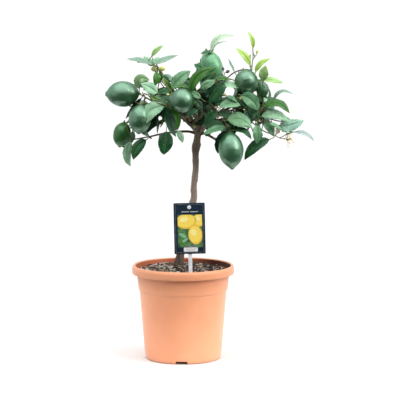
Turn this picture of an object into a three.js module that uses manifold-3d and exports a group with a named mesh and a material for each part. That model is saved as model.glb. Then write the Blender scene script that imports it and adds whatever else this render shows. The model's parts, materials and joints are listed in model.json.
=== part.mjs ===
// A young lemon tree grown as a small standard in a round nursery pot.
// Units are millimetres, +Z is up. The origin is the centre of the pot's flat
// underside, -Y is the front of the tree, where the plant label stands.
import * as THREE from "three";
import { mergeVertices } from "three/addons/utils/BufferGeometryUtils.js";
import Module from "manifold-3d";

const wasm = await Module();
wasm.setup();

// ---------------------------------------------------------------- dimensions
const GAP = 0.35; // clearance left between pieces that touch

// pot: a moulded round pot, 200 mm over the rim
const POT_H = 183;
const RIM_R = 100;
const RIM_INNER_R = 93.4;
const SKIRT_LOW = 166.8; // lower edge of the turned-down rim
const STEP_Z = 135; // shoulder between collar and body
const FOOT_R = 71;
const FLOOR_Z = 6.2; // underside of the raised floor
const FLOOR_T = 2.4;
const POT_SEGMENTS = 32;
const NOTCH_W = 24; // drainage notch through the foot ring
const NOTCH_H = 5.4;
const NOTCHES = 4;
const NOTCH_TURN = 1.9; // degrees, about the pot's axis
const DRAIN_HOLES = 8;
const DRAIN_R = 5;
const DRAIN_RING_R = 52;

// potting mix
const SOIL_EDGE_Z = 172;
const MOUND_H = 8.4;
const MOUND_REACH = 46;

// trunk: flat cut at ground level, fork on top
const TRUNK_BASE = { x: -7.4, y: 20, z: 180.6 };
const TRUNK_SIDES = 11;
const FORK = { x: 31, y: 0, z: 446 };

// plant label and its stick
const CARD_W = 60.2;
const CARD_H = 99;
const CARD_T = 0.9;
const CARD_X = 14;
const CARD_Y = -50;
const CARD_LOW = 212;
const CARD_TILT = 1.2; // degrees, top towards -X
const CARD_HOLE_R = 4.1;
const CARD_HOLE_DROP = 8.4; // hole's centre below the card's top
const STICK_W = 7.4;
const STICK_T = 1.8;
const STICK_DEPTH = 46; // length below the ground

// crown
const MASS_DETAIL = 3;
const SMALL_MASS_DETAIL = 2; // for masses under SMALL_MASS across
const SMALL_MASS = 34; // mean half size
const LUMP = 0.15; // large bumps of a foliage mass, as a share of its size
const RUFFLE = 0.07; // small ones

// ---------------------------------------------------------------- materials
const paint = (color, roughness) =>
  new THREE.MeshStandardMaterial({ color, roughness, metalness: 0 });
const MAT = {
  pot: paint(0xe08a58, 0.55),
  soil: paint(0x3d3228, 0.95),
  bark: paint(0x6e5f52, 0.9),
  twig: paint(0x5d6b3a, 0.8),
  foliage: paint(0x2c6138, 0.6),
  young: paint(0x86b32f, 0.6),
  card: paint(0x172431, 0.35),
  stick: paint(0xeef1f4, 0.4),
};

// ---------------------------------------------------------------- helpers
const rad = THREE.MathUtils.degToRad;

// A closed three.js geometry as a manifold solid.
function solid(geometry) {
  const g = geometry.index ? geometry.toNonIndexed() : geometry.clone();
  g.deleteAttribute("normal");
  g.deleteAttribute("uv");
  const m = mergeVertices(g, 1e-4);
  return new wasm.Manifold(
    new wasm.Mesh({
      numProp: 3,
      vertProperties: m.attributes.position.array,
      triVerts: new Uint32Array(m.index.array),
    }),
  );
}

// A manifold solid as a three.js geometry.
function geometryOf(made) {
  const mesh = made.getMesh();
  const g = new THREE.BufferGeometry();
  const n = mesh.numProp;
  const v = new Float32Array(mesh.numVert * 3);
  for (let i = 0; i < mesh.numVert; i++)
    v.set(mesh.vertProperties.subarray(i * n, i * n + 3), i * 3);
  g.setAttribute("position", new THREE.BufferAttribute(v, 3));
  g.setIndex(new THREE.BufferAttribute(new Uint32Array(mesh.triVerts), 1));
  g.computeVertexNormals();
  return g;
}

// The separate body of a solid that lies nearest to a point.
function bodyNear(made, p) {
  let best = null;
  let least = Infinity;
  for (const b of made.decompose()) {
    const m = b.getMesh();
    for (let i = 0; i < m.numVert; i++) {
      const d = Math.hypot(
        m.vertProperties[i * m.numProp] - p.x,
        m.vertProperties[i * m.numProp + 1] - p.y,
        m.vertProperties[i * m.numProp + 2] - p.z,
      );
      if (d < least) {
        least = d;
        best = b;
      }
    }
  }
  return best;
}

// A closed skin over rings of equal length; the ends are closed by fans.
function skin(rings, startCentre, endCentre) {
  const n = rings[0].length;
  const pos = [];
  for (const ring of rings) for (const p of ring) pos.push(p.x, p.y, p.z);
  const s = rings.length * n;
  pos.push(startCentre.x, startCentre.y, startCentre.z);
  pos.push(endCentre.x, endCentre.y, endCentre.z);
  const idx = [];
  for (let k = 0; k + 1 < rings.length; k++)
    for (let i = 0; i < n; i++) {
      const j = (i + 1) % n;
      const a = k * n + i;
      const b = k * n + j;
      idx.push(a, b, b + n, a, b + n, a + n);
    }
  const top = (rings.length - 1) * n;
  for (let i = 0; i < n; i++) {
    const j = (i + 1) % n;
    idx.push(s, j, i);
    idx.push(s + 1, top + i, top + j);
  }
  const g = new THREE.BufferGeometry();
  g.setAttribute("position", new THREE.Float32BufferAttribute(pos, 3));
  g.setIndex(idx);
  return g;
}

// A smooth value that wanders between about -1 and 1 over the directions of a unit sphere.
function wander(d, seed, pitch) {
  let sum = 0;
  for (let k = 0; k < 4; k++) {
    const a = seed * 1.7 + k * 2.399;
    const b = seed * 0.9 + k * 1.618;
    const w = new THREE.Vector3(
      Math.cos(a) * Math.sin(b),
      Math.sin(a) * Math.sin(b),
      Math.cos(b),
    );
    sum += Math.sin(pitch * d.dot(w) * (1 + 0.23 * k) + seed * 3.1 + k * 1.3);
  }
  return sum / 2.4;
}

const group = new THREE.Group();
function add(name, geometry, material) {
  const mesh = new THREE.Mesh(geometry, material);
  mesh.name = name;
  group.add(mesh);
  return mesh;
}

// ---------------------------------------------------------------- pot
// Section of the wall, from the middle of the underside outwards, up the outside,
// over the turned-down rim, and down the inside.
function potSection() {
  const f = FLOOR_Z;
  return [
    [0, 0],
    [11, 0],
    [11.6, f],
    [FOOT_R - 2.3, f],
    [FOOT_R - 2.7, 0],
    [FOOT_R, 0],
    [FOOT_R + 2.4, 2.6],
    [75.1, 12],
    [85.3, STEP_Z - 2],
    [87.4, STEP_Z + 0.8],
    [90.2, 164],
    [93.2, 178.5],
    [97.4, 179.4],
    [97.8, SKIRT_LOW],
    [99.5, SKIRT_LOW],
    [RIM_R, SKIRT_LOW + 3],
    [RIM_R, POT_H - 4.5],
    [97.6, POT_H],
    [94.8, POT_H],
    [RIM_INNER_R, POT_H - 1],
    [88, 163.5],
    [85.3, STEP_Z + 1.6],
    [83.2, STEP_Z - 1.2],
    [73, 14],
    [70.6, f + FLOOR_T],
    [0, f + FLOOR_T],
  ].map(([r, z]) => new THREE.Vector2(r, z));
}

const POT_INSIDE = 18; // the section's first point on the inside

function makePot() {
  const lathe = new THREE.LatheGeometry(potSection(), POT_SEGMENTS);
  lathe.rotateX(Math.PI / 2);
  let pot = solid(lathe);
  for (let k = 0; k < NOTCHES; k++) {
    const notch = new THREE.BoxGeometry(50, NOTCH_W, NOTCH_H + 1);
    notch.translate(62, 0, NOTCH_H / 2 - 0.5);
    notch.rotateZ(-Math.PI / 2 - rad(NOTCH_TURN) + (k * 2 * Math.PI) / NOTCHES);
    pot = pot.subtract(solid(notch));
  }
  for (let k = 0; k < DRAIN_HOLES; k++) {
    const hole = new THREE.CylinderGeometry(DRAIN_R, DRAIN_R, 14, 8);
    hole.rotateX(Math.PI / 2);
    const a = ((k + 0.5) * 2 * Math.PI) / DRAIN_HOLES;
    hole.translate(
      DRAIN_RING_R * Math.cos(a),
      DRAIN_RING_R * Math.sin(a),
      FLOOR_Z + 1,
    );
    pot = pot.subtract(solid(hole));
  }
  return pot;
}

// Inside radius of the pot at a height.
function potInside(z) {
  const wall = potSection()
    .slice(POT_INSIDE)
    .reverse()
    .filter((p) => p.x > 1);
  for (let i = 0; i + 1 < wall.length; i++) {
    const [a, b] = [wall[i], wall[i + 1]];
    if (z >= a.y && z <= b.y)
      return a.x + ((b.x - a.x) * (z - a.y)) / (b.y - a.y);
  }
  return wall[0].x;
}

// ---------------------------------------------------------------- potting mix
function groundAt(x, y) {
  const r = Math.hypot(x - TRUNK_BASE.x, y - TRUNK_BASE.y);
  const edge = Math.min(1, Math.hypot(x, y) / 88);
  const bumps =
    0.9 * Math.sin(x / 11 + 1.3) * Math.cos(y / 13 - 0.4) +
    0.5 * Math.sin((x + y) / 7);
  return (
    SOIL_EDGE_Z +
    MOUND_H * Math.exp(-((r / MOUND_REACH) ** 2)) +
    bumps * (1 - edge ** 4) * Math.min(1, (r / 30) ** 2)
  );
}

function makeSoil() {
  const n = POT_SEGMENTS;
  const ring = (r, z) =>
    Array.from({ length: n }, (_, i) => {
      const a = (i / n) * 2 * Math.PI;
      const p = new THREE.Vector3(r * Math.cos(a), r * Math.sin(a), 0);
      p.z = z ?? groundAt(p.x, p.y);
      return p;
    });
  const inset = GAP / Math.cos(Math.PI / n);
  const rings = [];
  const low = FLOOR_Z + FLOOR_T + GAP;
  for (const z of [low, 14, STEP_Z - 1.2, STEP_Z + 1.6, 163.5])
    rings.push(ring(potInside(z) - inset - 0.15, z));
  const top = potInside(SOIL_EDGE_Z) - inset - 0.6;
  rings.push(ring(top, SOIL_EDGE_Z));
  for (const share of [0.88, 0.68, 0.47, 0.25])
    rings.push(ring(top * share));
  let soil = solid(
    skin(
      rings,
      new THREE.Vector3(0, 0, low),
      new THREE.Vector3(0, 0, groundAt(0, 0)),
    ),
  );
  // level seat under the trunk's flat foot
  const seat = new THREE.CylinderGeometry(16, 16, 20, 16);
  seat.rotateX(Math.PI / 2);
  seat.translate(TRUNK_BASE.x, TRUNK_BASE.y, TRUNK_BASE.z - GAP + 10);
  soil = soil.subtract(solid(seat));
  // slot that the label's stick is pushed into
  const slot = new THREE.BoxGeometry(
    STICK_W + 2 * GAP,
    STICK_T + 2 * GAP,
    STICK_DEPTH + 60,
  );
  slot.translate(
    0,
    0,
    SOIL_EDGE_Z - CARD_LOW - STICK_DEPTH - GAP + (STICK_DEPTH + 60) / 2,
  );
  slot.rotateY(-rad(CARD_TILT));
  slot.translate(CARD_X, CARD_Y + CARD_T / 2 + GAP + STICK_T / 2, CARD_LOW);
  return soil.subtract(solid(slot));
}

// ---------------------------------------------------------------- trunk
// Centre line and radius by height above the ground, t from 0 to 1.
const TRUNK_H = FORK.z + 6 - TRUNK_BASE.z;
const trunkLine = new THREE.CatmullRomCurve3(
  [
    [-7.4, 20, 0],
    [-6.2, 18.5, 0.055],
    [5, 13, 0.26],
    [20.2, 8, 0.47],
    [20.8, 6, 0.57],
    [24.6, 4, 0.7],
    [24.6, 2, 0.82],
    [27.2, 0.6, 0.905],
    [31, 0, 1],
  ].map(
    ([x, y, t]) => new THREE.Vector3(x, y, TRUNK_BASE.z + t * TRUNK_H),
  ),
  false,
  "centripetal",
);

function trunkRadius(t, a) {
  const flare = 4.6 * Math.exp(-t / 0.03) * (1 + 0.35 * Math.cos(3 * a + 0.6));
  const body = 7.6 - 1.4 * Math.min(1, t / 0.45);
  const union = 2.2 * Math.exp(-(((t - 0.86) / 0.035) ** 2)); // swelling of the graft
  const crotch = 1.6 * Math.max(0, (t - 0.93) / 0.07);
  const knots =
    0.45 * Math.sin(t * 41 + 1.2 * Math.sin(a)) +
    0.3 * Math.sin(t * 83 + 2 * a);
  return body + flare + union + crotch + knots * Math.min(1, t / 0.05);
}

function trunkGeometry(extra = 0) {
  const steps = 22;
  const rings = [];
  for (let k = 0; k <= steps; k++) {
    const t = k / steps;
    // find the curve's point at this height
    let lo = 0;
    let hi = 1;
    const z = TRUNK_BASE.z + t * TRUNK_H;
    for (let i = 0; i < 30; i++) {
      const mid = (lo + hi) / 2;
      if (trunkLine.getPoint(mid).z < z) lo = mid;
      else hi = mid;
    }
    const c = trunkLine.getPoint((lo + hi) / 2);
    c.z = z;
    const close = k === steps ? 0.55 : 1; // rounded top, hidden among the limbs
    rings.push(
      Array.from({ length: TRUNK_SIDES }, (_, i) => {
        const a = (i / TRUNK_SIDES) * 2 * Math.PI;
        const r = (trunkRadius(t, a) + extra) * close;
        return new THREE.Vector3(
          c.x + r * Math.cos(a),
          c.y + r * Math.sin(a),
          c.z,
        );
      }),
    );
  }
  if (extra) {
    for (const p of rings[steps]) p.z += extra;
  }
  const mean = (ring) =>
    ring
      .reduce((s, p) => s.add(p), new THREE.Vector3())
      .divideScalar(ring.length);
  return skin(rings, mean(rings[0]), mean(rings[steps]));
}

// ---------------------------------------------------------------- foliage
// Each mass: centre (x, y, z), half sizes (rx, ry, rz).
const MASSES = {
  mass_left_tip: [-112, -20, 517, 40, 36, 29],
  mass_left_low: [-104, -30, 430, 31, 30, 48],
  mass_left_mid: [-62, -55, 500, 36, 42, 46],
  mass_left_top: [-54, 45, 574, 52, 40, 34],
  mass_left_inner: [-26, -34, 452, 28, 30, 44],
  mass_centre_front: [8, -88, 520, 42, 42, 42],
  mass_centre_top: [52, 26, 582, 40, 42, 50],
  mass_crown_core: [36, 2, 518, 40, 44, 34],
  mass_right_front: [82, -72, 498, 42, 42, 42],
  mass_low_right: [96, -62, 421, 34, 36, 50],
  mass_right_top: [132, -14, 560, 42, 44, 42],
  mass_top_shoot: [138, 10, 611, 34, 28, 32],
  mass_right_mid: [150, -34, 488, 42, 46, 40],
  mass_right_low: [142, -44, 424, 32, 26, 30],
  mass_right_tip: [206, -4, 462, 50, 40, 38],
  mass_back_left: [-64, 96, 498, 54, 50, 44],
  mass_back_centre: [32, 122, 506, 54, 50, 52],
  mass_back_right: [126, 92, 500, 54, 50, 48],
};
const YOUNG = ["mass_top_shoot"];

function massGeometry(name, extra = 0) {
  const names = Object.keys(MASSES);
  const seed = 1 + names.indexOf(name);
  const [cx, cy, cz, rx, ry, rz] = MASSES[name];
  const centre = new THREE.Vector3(cx, cy, cz);
  // flat cuts half way to each neighbour, by their sizes in that direction
  const reach = (m, d) =>
    1 / Math.hypot(d.x / m[3], d.y / m[4], d.z / m[5]);
  const planes = [];
  for (const other of names) {
    if (other === name) continue;
    const o = MASSES[other];
    const d = new THREE.Vector3(o[0], o[1], o[2]).sub(centre);
    const gap = d.length();
    d.normalize();
    const mine = reach(MASSES[name], d);
    const theirs = reach(o, d);
    planes.push([d, (gap * mine) / (mine + theirs) - GAP / 2 - 0.1]);
  }
  const small = (rx + ry + rz) / 3 < SMALL_MASS;
  const g = new THREE.IcosahedronGeometry(
    1,
    small ? SMALL_MASS_DETAIL : MASS_DETAIL,
  );
  g.deleteAttribute("normal");
  g.deleteAttribute("uv");
  const m = mergeVertices(g, 1e-4);
  const p = m.attributes.position;
  const d = new THREE.Vector3();
  for (let i = 0; i < p.count; i++) {
    d.fromBufferAttribute(p, i).normalize();
    let r = 1 / Math.hypot(d.x / rx, d.y / ry, d.z / rz);
    r *= 1 + LUMP * wander(d, seed, 2.6) + RUFFLE * wander(d, seed + 31, 6.5);
    r += extra;
    for (const [n, far] of planes) {
      const along = d.dot(n);
      if (along > 1e-3) r = Math.min(r, (far + extra) / along);
    }
    p.setXYZ(i, cx + d.x * r, cy + d.y * r, cz + d.z * r);
  }
  return m;
}

// ---------------------------------------------------------------- boughs
// Each bough springs from the fork, passes its knees and runs to the middle of a mass.
const BOUGHS = {
  bough_left: ["mass_left_mid", 5.4, 2.4, [[15, -4, 460], [-8, -22, 478]]],
  bough_left_low: ["mass_left_low", 2.6, 1.5, [[8, -5, 444.5], [-34, -20, 442.5], [-64, -26, 436.5]]],
  bough_left_top: ["mass_left_top", 3.8, 2.2, [[14, 10, 470], [-18, 30, 520]]],
  bough_front: ["mass_centre_front", 4.2, 2.4, [[28, -16, 464], [20, -46, 486]]],
  bough_centre: ["mass_crown_core", 5.2, 4.2, [[33, 1, 466]]],
  bough_right: ["mass_right_front", 4.6, 2.6, [[42, -10, 458], [58, -40, 476]]],
  bough_right_low: ["mass_low_right", 2.4, 1.6, [[44, -12, 440], [66, -36, 430]]],
  bough_right_mid: ["mass_right_mid", 4.2, 2.2, [[50, 2, 458], [92, -4, 472]]],
  bough_back_left: ["mass_back_left", 4.2, 2.4, [[22, 18, 460], [-10, 52, 478]]],
  bough_back_right: ["mass_back_right", 4.4, 2.4, [[44, 20, 460], [76, 50, 478]]],
};
const BOUGH_SIDES = 7;
const BOUGH_STEPS = 8;

function boughGeometry(name, extra = 0) {
  const [target, r0, r1, knees] = BOUGHS[name];
  const m = MASSES[target];
  const line = new THREE.CatmullRomCurve3(
    [[FORK.x, FORK.y, FORK.z - 8], ...knees, [m[0], m[1], m[2]]].map(
      (q) => new THREE.Vector3(...q),
    ),
    false,
    "centripetal",
  );
  const frames = line.computeFrenetFrames(BOUGH_STEPS, false);
  const rings = [];
  for (let k = 0; k <= BOUGH_STEPS; k++) {
    const t = k / BOUGH_STEPS;
    const c = line.getPointAt(t);
    const r = THREE.MathUtils.lerp(r0, r1, Math.min(1, t * 1.35)) + extra;
    rings.push(
      Array.from({ length: BOUGH_SIDES }, (_, i) => {
        const a = (i / BOUGH_SIDES) * 2 * Math.PI;
        return c
          .clone()
          .addScaledVector(frames.normals[k], r * Math.cos(a))
          .addScaledVector(frames.binormals[k], r * Math.sin(a));
      }),
    );
  }
  return skin(rings, line.getPointAt(0), line.getPointAt(1));
}

// ---------------------------------------------------------------- label
function cardGeometry() {
  const shape = new THREE.Shape();
  const [w, h, c] = [CARD_W / 2, CARD_H, 1.2];
  shape.moveTo(-w + c, 0);
  shape.lineTo(w - c, 0);
  shape.lineTo(w, c);
  shape.lineTo(w, h - c);
  shape.lineTo(w - c, h);
  shape.lineTo(-w + c, h);
  shape.lineTo(-w, h - c);
  shape.lineTo(-w, c);
  shape.closePath();
  const hole = new THREE.Path();
  hole.absarc(0, h - CARD_HOLE_DROP, CARD_HOLE_R, 0, 2 * Math.PI, true);
  shape.holes.push(hole);
  const g = new THREE.ExtrudeGeometry(shape, {
    depth: CARD_T,
    bevelEnabled: false,
    curveSegments: 8,
  });
  g.translate(0, 0, -CARD_T / 2);
  g.rotateX(Math.PI / 2);
  return g;
}

// Stake behind the card, in the card's own frame: z from the card's foot,
// with a round button that passes through the card's hole.
function stickGeometry() {
  const eye = CARD_H - CARD_HOLE_DROP;
  const low = SOIL_EDGE_Z - STICK_DEPTH - CARD_LOW;
  const w = STICK_W / 2;
  const shape = new THREE.Shape();
  shape.moveTo(0, low);
  shape.lineTo(w, low + 9);
  shape.lineTo(w, eye);
  shape.absarc(0, eye, w, 0, Math.PI, false);
  shape.lineTo(-w, low + 9);
  shape.closePath();
  const g = new THREE.ExtrudeGeometry(shape, {
    depth: STICK_T,
    bevelEnabled: false,
    curveSegments: 8,
  });
  g.translate(0, 0, -STICK_T);
  g.rotateX(Math.PI / 2);
  const through = GAP + CARD_T + 0.5;
  const button = new THREE.CylinderGeometry(w, w, through + 0.6, 20);
  button.translate(0, 0.6 - (through + 0.6) / 2, eye);
  return geometryOf(solid(g).add(solid(button)));
}

// ---------------------------------------------------------------- assembly
add("pot", geometryOf(makePot()), MAT.pot);
add("soil", geometryOf(makeSoil()), MAT.soil);

const trunk = solid(trunkGeometry());
const trunkClear = solid(trunkGeometry(GAP));
add("trunk", geometryOf(trunk), MAT.bark);

const massesClear = Object.fromEntries(
  Object.keys(MASSES).map((n) => [n, solid(massGeometry(n, GAP))]),
);
for (const name of Object.keys(MASSES)) {
  let mass = solid(massGeometry(name));
  if (mass.intersect(trunkClear).volume() > 1e-3)
    mass = bodyNear(
      mass.subtract(trunkClear),
      new THREE.Vector3(...MASSES[name]),
    );
  add(
    name,
    geometryOf(mass),
    YOUNG.includes(name) ? MAT.young : MAT.foliage,
  );
}

let taken = trunkClear;
for (const n of Object.keys(MASSES)) taken = taken.add(massesClear[n]);
for (const name of Object.keys(BOUGHS)) {
  const root = new THREE.Vector3(FORK.x, FORK.y, FORK.z);
  const limb = bodyNear(solid(boughGeometry(name)).subtract(taken), root);
  add(name, geometryOf(limb), MAT.bark);
  taken = taken.add(solid(boughGeometry(name, GAP)));
}

const card = add("label_card", cardGeometry(), MAT.card);
card.position.set(CARD_X, CARD_Y, CARD_LOW);
card.rotation.y = -rad(CARD_TILT);
const stick = add("label_stick", stickGeometry(), MAT.stick);
stick.position.set(CARD_X, CARD_Y + CARD_T / 2 + GAP, CARD_LOW);
stick.rotation.y = -rad(CARD_TILT);

export default group;
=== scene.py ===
import json
import math
import random

import bmesh
import bpy
import numpy as np
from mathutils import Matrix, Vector, noise

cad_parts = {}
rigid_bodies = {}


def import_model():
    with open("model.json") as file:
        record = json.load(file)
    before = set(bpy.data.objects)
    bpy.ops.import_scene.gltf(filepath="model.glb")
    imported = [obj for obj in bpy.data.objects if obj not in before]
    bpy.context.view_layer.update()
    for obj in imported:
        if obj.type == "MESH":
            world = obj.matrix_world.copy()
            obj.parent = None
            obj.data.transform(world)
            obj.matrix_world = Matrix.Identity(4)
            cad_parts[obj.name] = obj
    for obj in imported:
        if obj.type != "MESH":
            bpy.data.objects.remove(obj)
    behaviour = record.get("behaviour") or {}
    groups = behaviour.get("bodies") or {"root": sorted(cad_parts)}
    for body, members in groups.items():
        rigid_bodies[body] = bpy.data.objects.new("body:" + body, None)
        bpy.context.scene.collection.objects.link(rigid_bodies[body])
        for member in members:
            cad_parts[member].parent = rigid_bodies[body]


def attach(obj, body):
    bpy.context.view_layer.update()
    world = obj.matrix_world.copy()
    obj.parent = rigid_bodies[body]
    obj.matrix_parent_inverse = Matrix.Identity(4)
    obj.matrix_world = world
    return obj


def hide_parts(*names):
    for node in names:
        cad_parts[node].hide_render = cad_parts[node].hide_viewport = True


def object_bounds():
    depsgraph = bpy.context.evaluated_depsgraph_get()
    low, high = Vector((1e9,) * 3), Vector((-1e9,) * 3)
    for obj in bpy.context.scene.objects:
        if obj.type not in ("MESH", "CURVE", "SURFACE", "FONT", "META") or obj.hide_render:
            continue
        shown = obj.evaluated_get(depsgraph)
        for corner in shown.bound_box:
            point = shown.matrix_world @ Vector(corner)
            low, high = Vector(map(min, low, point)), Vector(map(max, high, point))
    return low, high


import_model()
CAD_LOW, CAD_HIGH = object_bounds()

MM = 0.001
RNG = random.Random(20417)
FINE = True

# ------------------------------------------------------------------ the plant's own sizes, in millimetres
POT_H, RIM_R, SKIRT_LOW, STEP_Z, FOOT_R, FLOOR_Z, FLOOR_T = 183.0, 100.0, 166.8, 135.0, 71.0, 6.2, 2.4
SOIL_EDGE_Z, MOUND_H, MOUND_REACH = 172.0, 8.4, 46.0
TRUNK_BASE, FORK = (-7.4, 20.0, 180.6), (31.0, 0.0, 446.0)
TRUNK_H = FORK[2] + 6 - TRUNK_BASE[2]
TRUNK_LINE = [(-7.4, 20, 0), (-6.2, 18.5, .055), (5, 13, .26), (20.2, 8, .47), (20.8, 6, .57),
              (24.6, 4, .7), (24.6, 2, .82), (27.2, .6, .905), (31, 0, 1)]
CARD_W, CARD_H, CARD_T, CARD_X, CARD_Y, CARD_LOW, CARD_TILT = 60.2, 99.0, 0.9, 14.0, -50.0, 212.0, 1.2
EYE = CARD_H - 8.4   # height of the punched hole on the card

MASSES = {
    "left_tip": (-112, -20, 517, 40, 36, 29), "left_low": (-104, -30, 430, 31, 30, 48),
    "left_mid": (-62, -55, 500, 36, 42, 46), "left_top": (-54, 45, 574, 52, 40, 34),
    "left_inner": (-26, -34, 452, 28, 30, 44), "centre_front": (8, -88, 520, 42, 42, 42),
    "centre_top": (52, 26, 582, 40, 42, 50), "crown_core": (36, 2, 518, 40, 44, 34),
    "right_front": (82, -72, 498, 42, 42, 42), "low_right": (96, -62, 421, 34, 36, 50),
    "right_top": (132, -14, 560, 42, 44, 42), "top_shoot": (138, 10, 611, 34, 28, 32),
    "right_mid": (150, -34, 488, 42, 46, 40), "right_low": (142, -44, 424, 32, 26, 30),
    "right_tip": (206, -4, 462, 50, 40, 38), "back_left": (-64, 96, 498, 54, 50, 44),
    "back_centre": (32, 122, 506, 54, 50, 52), "back_right": (126, 92, 500, 54, 50, 48)}
BOUGHS = {  # mass it grows to, radius at the fork and at the mass, bends between
    "bough_left": ("left_mid", 5.4, 2.4, [(15, -4, 460), (-8, -22, 478)]),
    "bough_left_low": ("left_low", 2.6, 1.5, [(8, -5, 444.5), (-34, -20, 442.5), (-64, -26, 436.5)]),
    "bough_left_top": ("left_top", 3.8, 2.2, [(14, 10, 470), (-18, 30, 520)]),
    "bough_front": ("centre_front", 4.2, 2.4, [(28, -16, 464), (20, -46, 486)]),
    "bough_centre": ("crown_core", 5.2, 4.2, [(33, 1, 466)]),
    "bough_right": ("right_front", 4.6, 2.6, [(42, -10, 458), (58, -40, 476)]),
    "bough_right_low": ("low_right", 2.4, 1.6, [(44, -12, 440), (66, -36, 430)]),
    "bough_right_mid": ("right_mid", 4.2, 2.2, [(50, 2, 458), (92, -4, 472)]),
    "bough_back_left": ("back_left", 4.2, 2.4, [(22, 18, 460), (-10, 52, 478)]),
    "bough_back_right": ("back_right", 4.4, 2.4, [(44, 20, 460), (76, 50, 478)])}
ONWARD = [  # limbs that run on from one mass to the next
    ("left_mid", "left_tip", 1.9), ("left_mid", "left_inner", 1.5), ("crown_core", "centre_top", 2.6),
    ("right_mid", "right_top", 2.2), ("right_mid", "right_tip", 1.9),
    ("right_mid", "right_low", 1.6), ("back_right", "back_centre", 2.0)]

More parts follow.
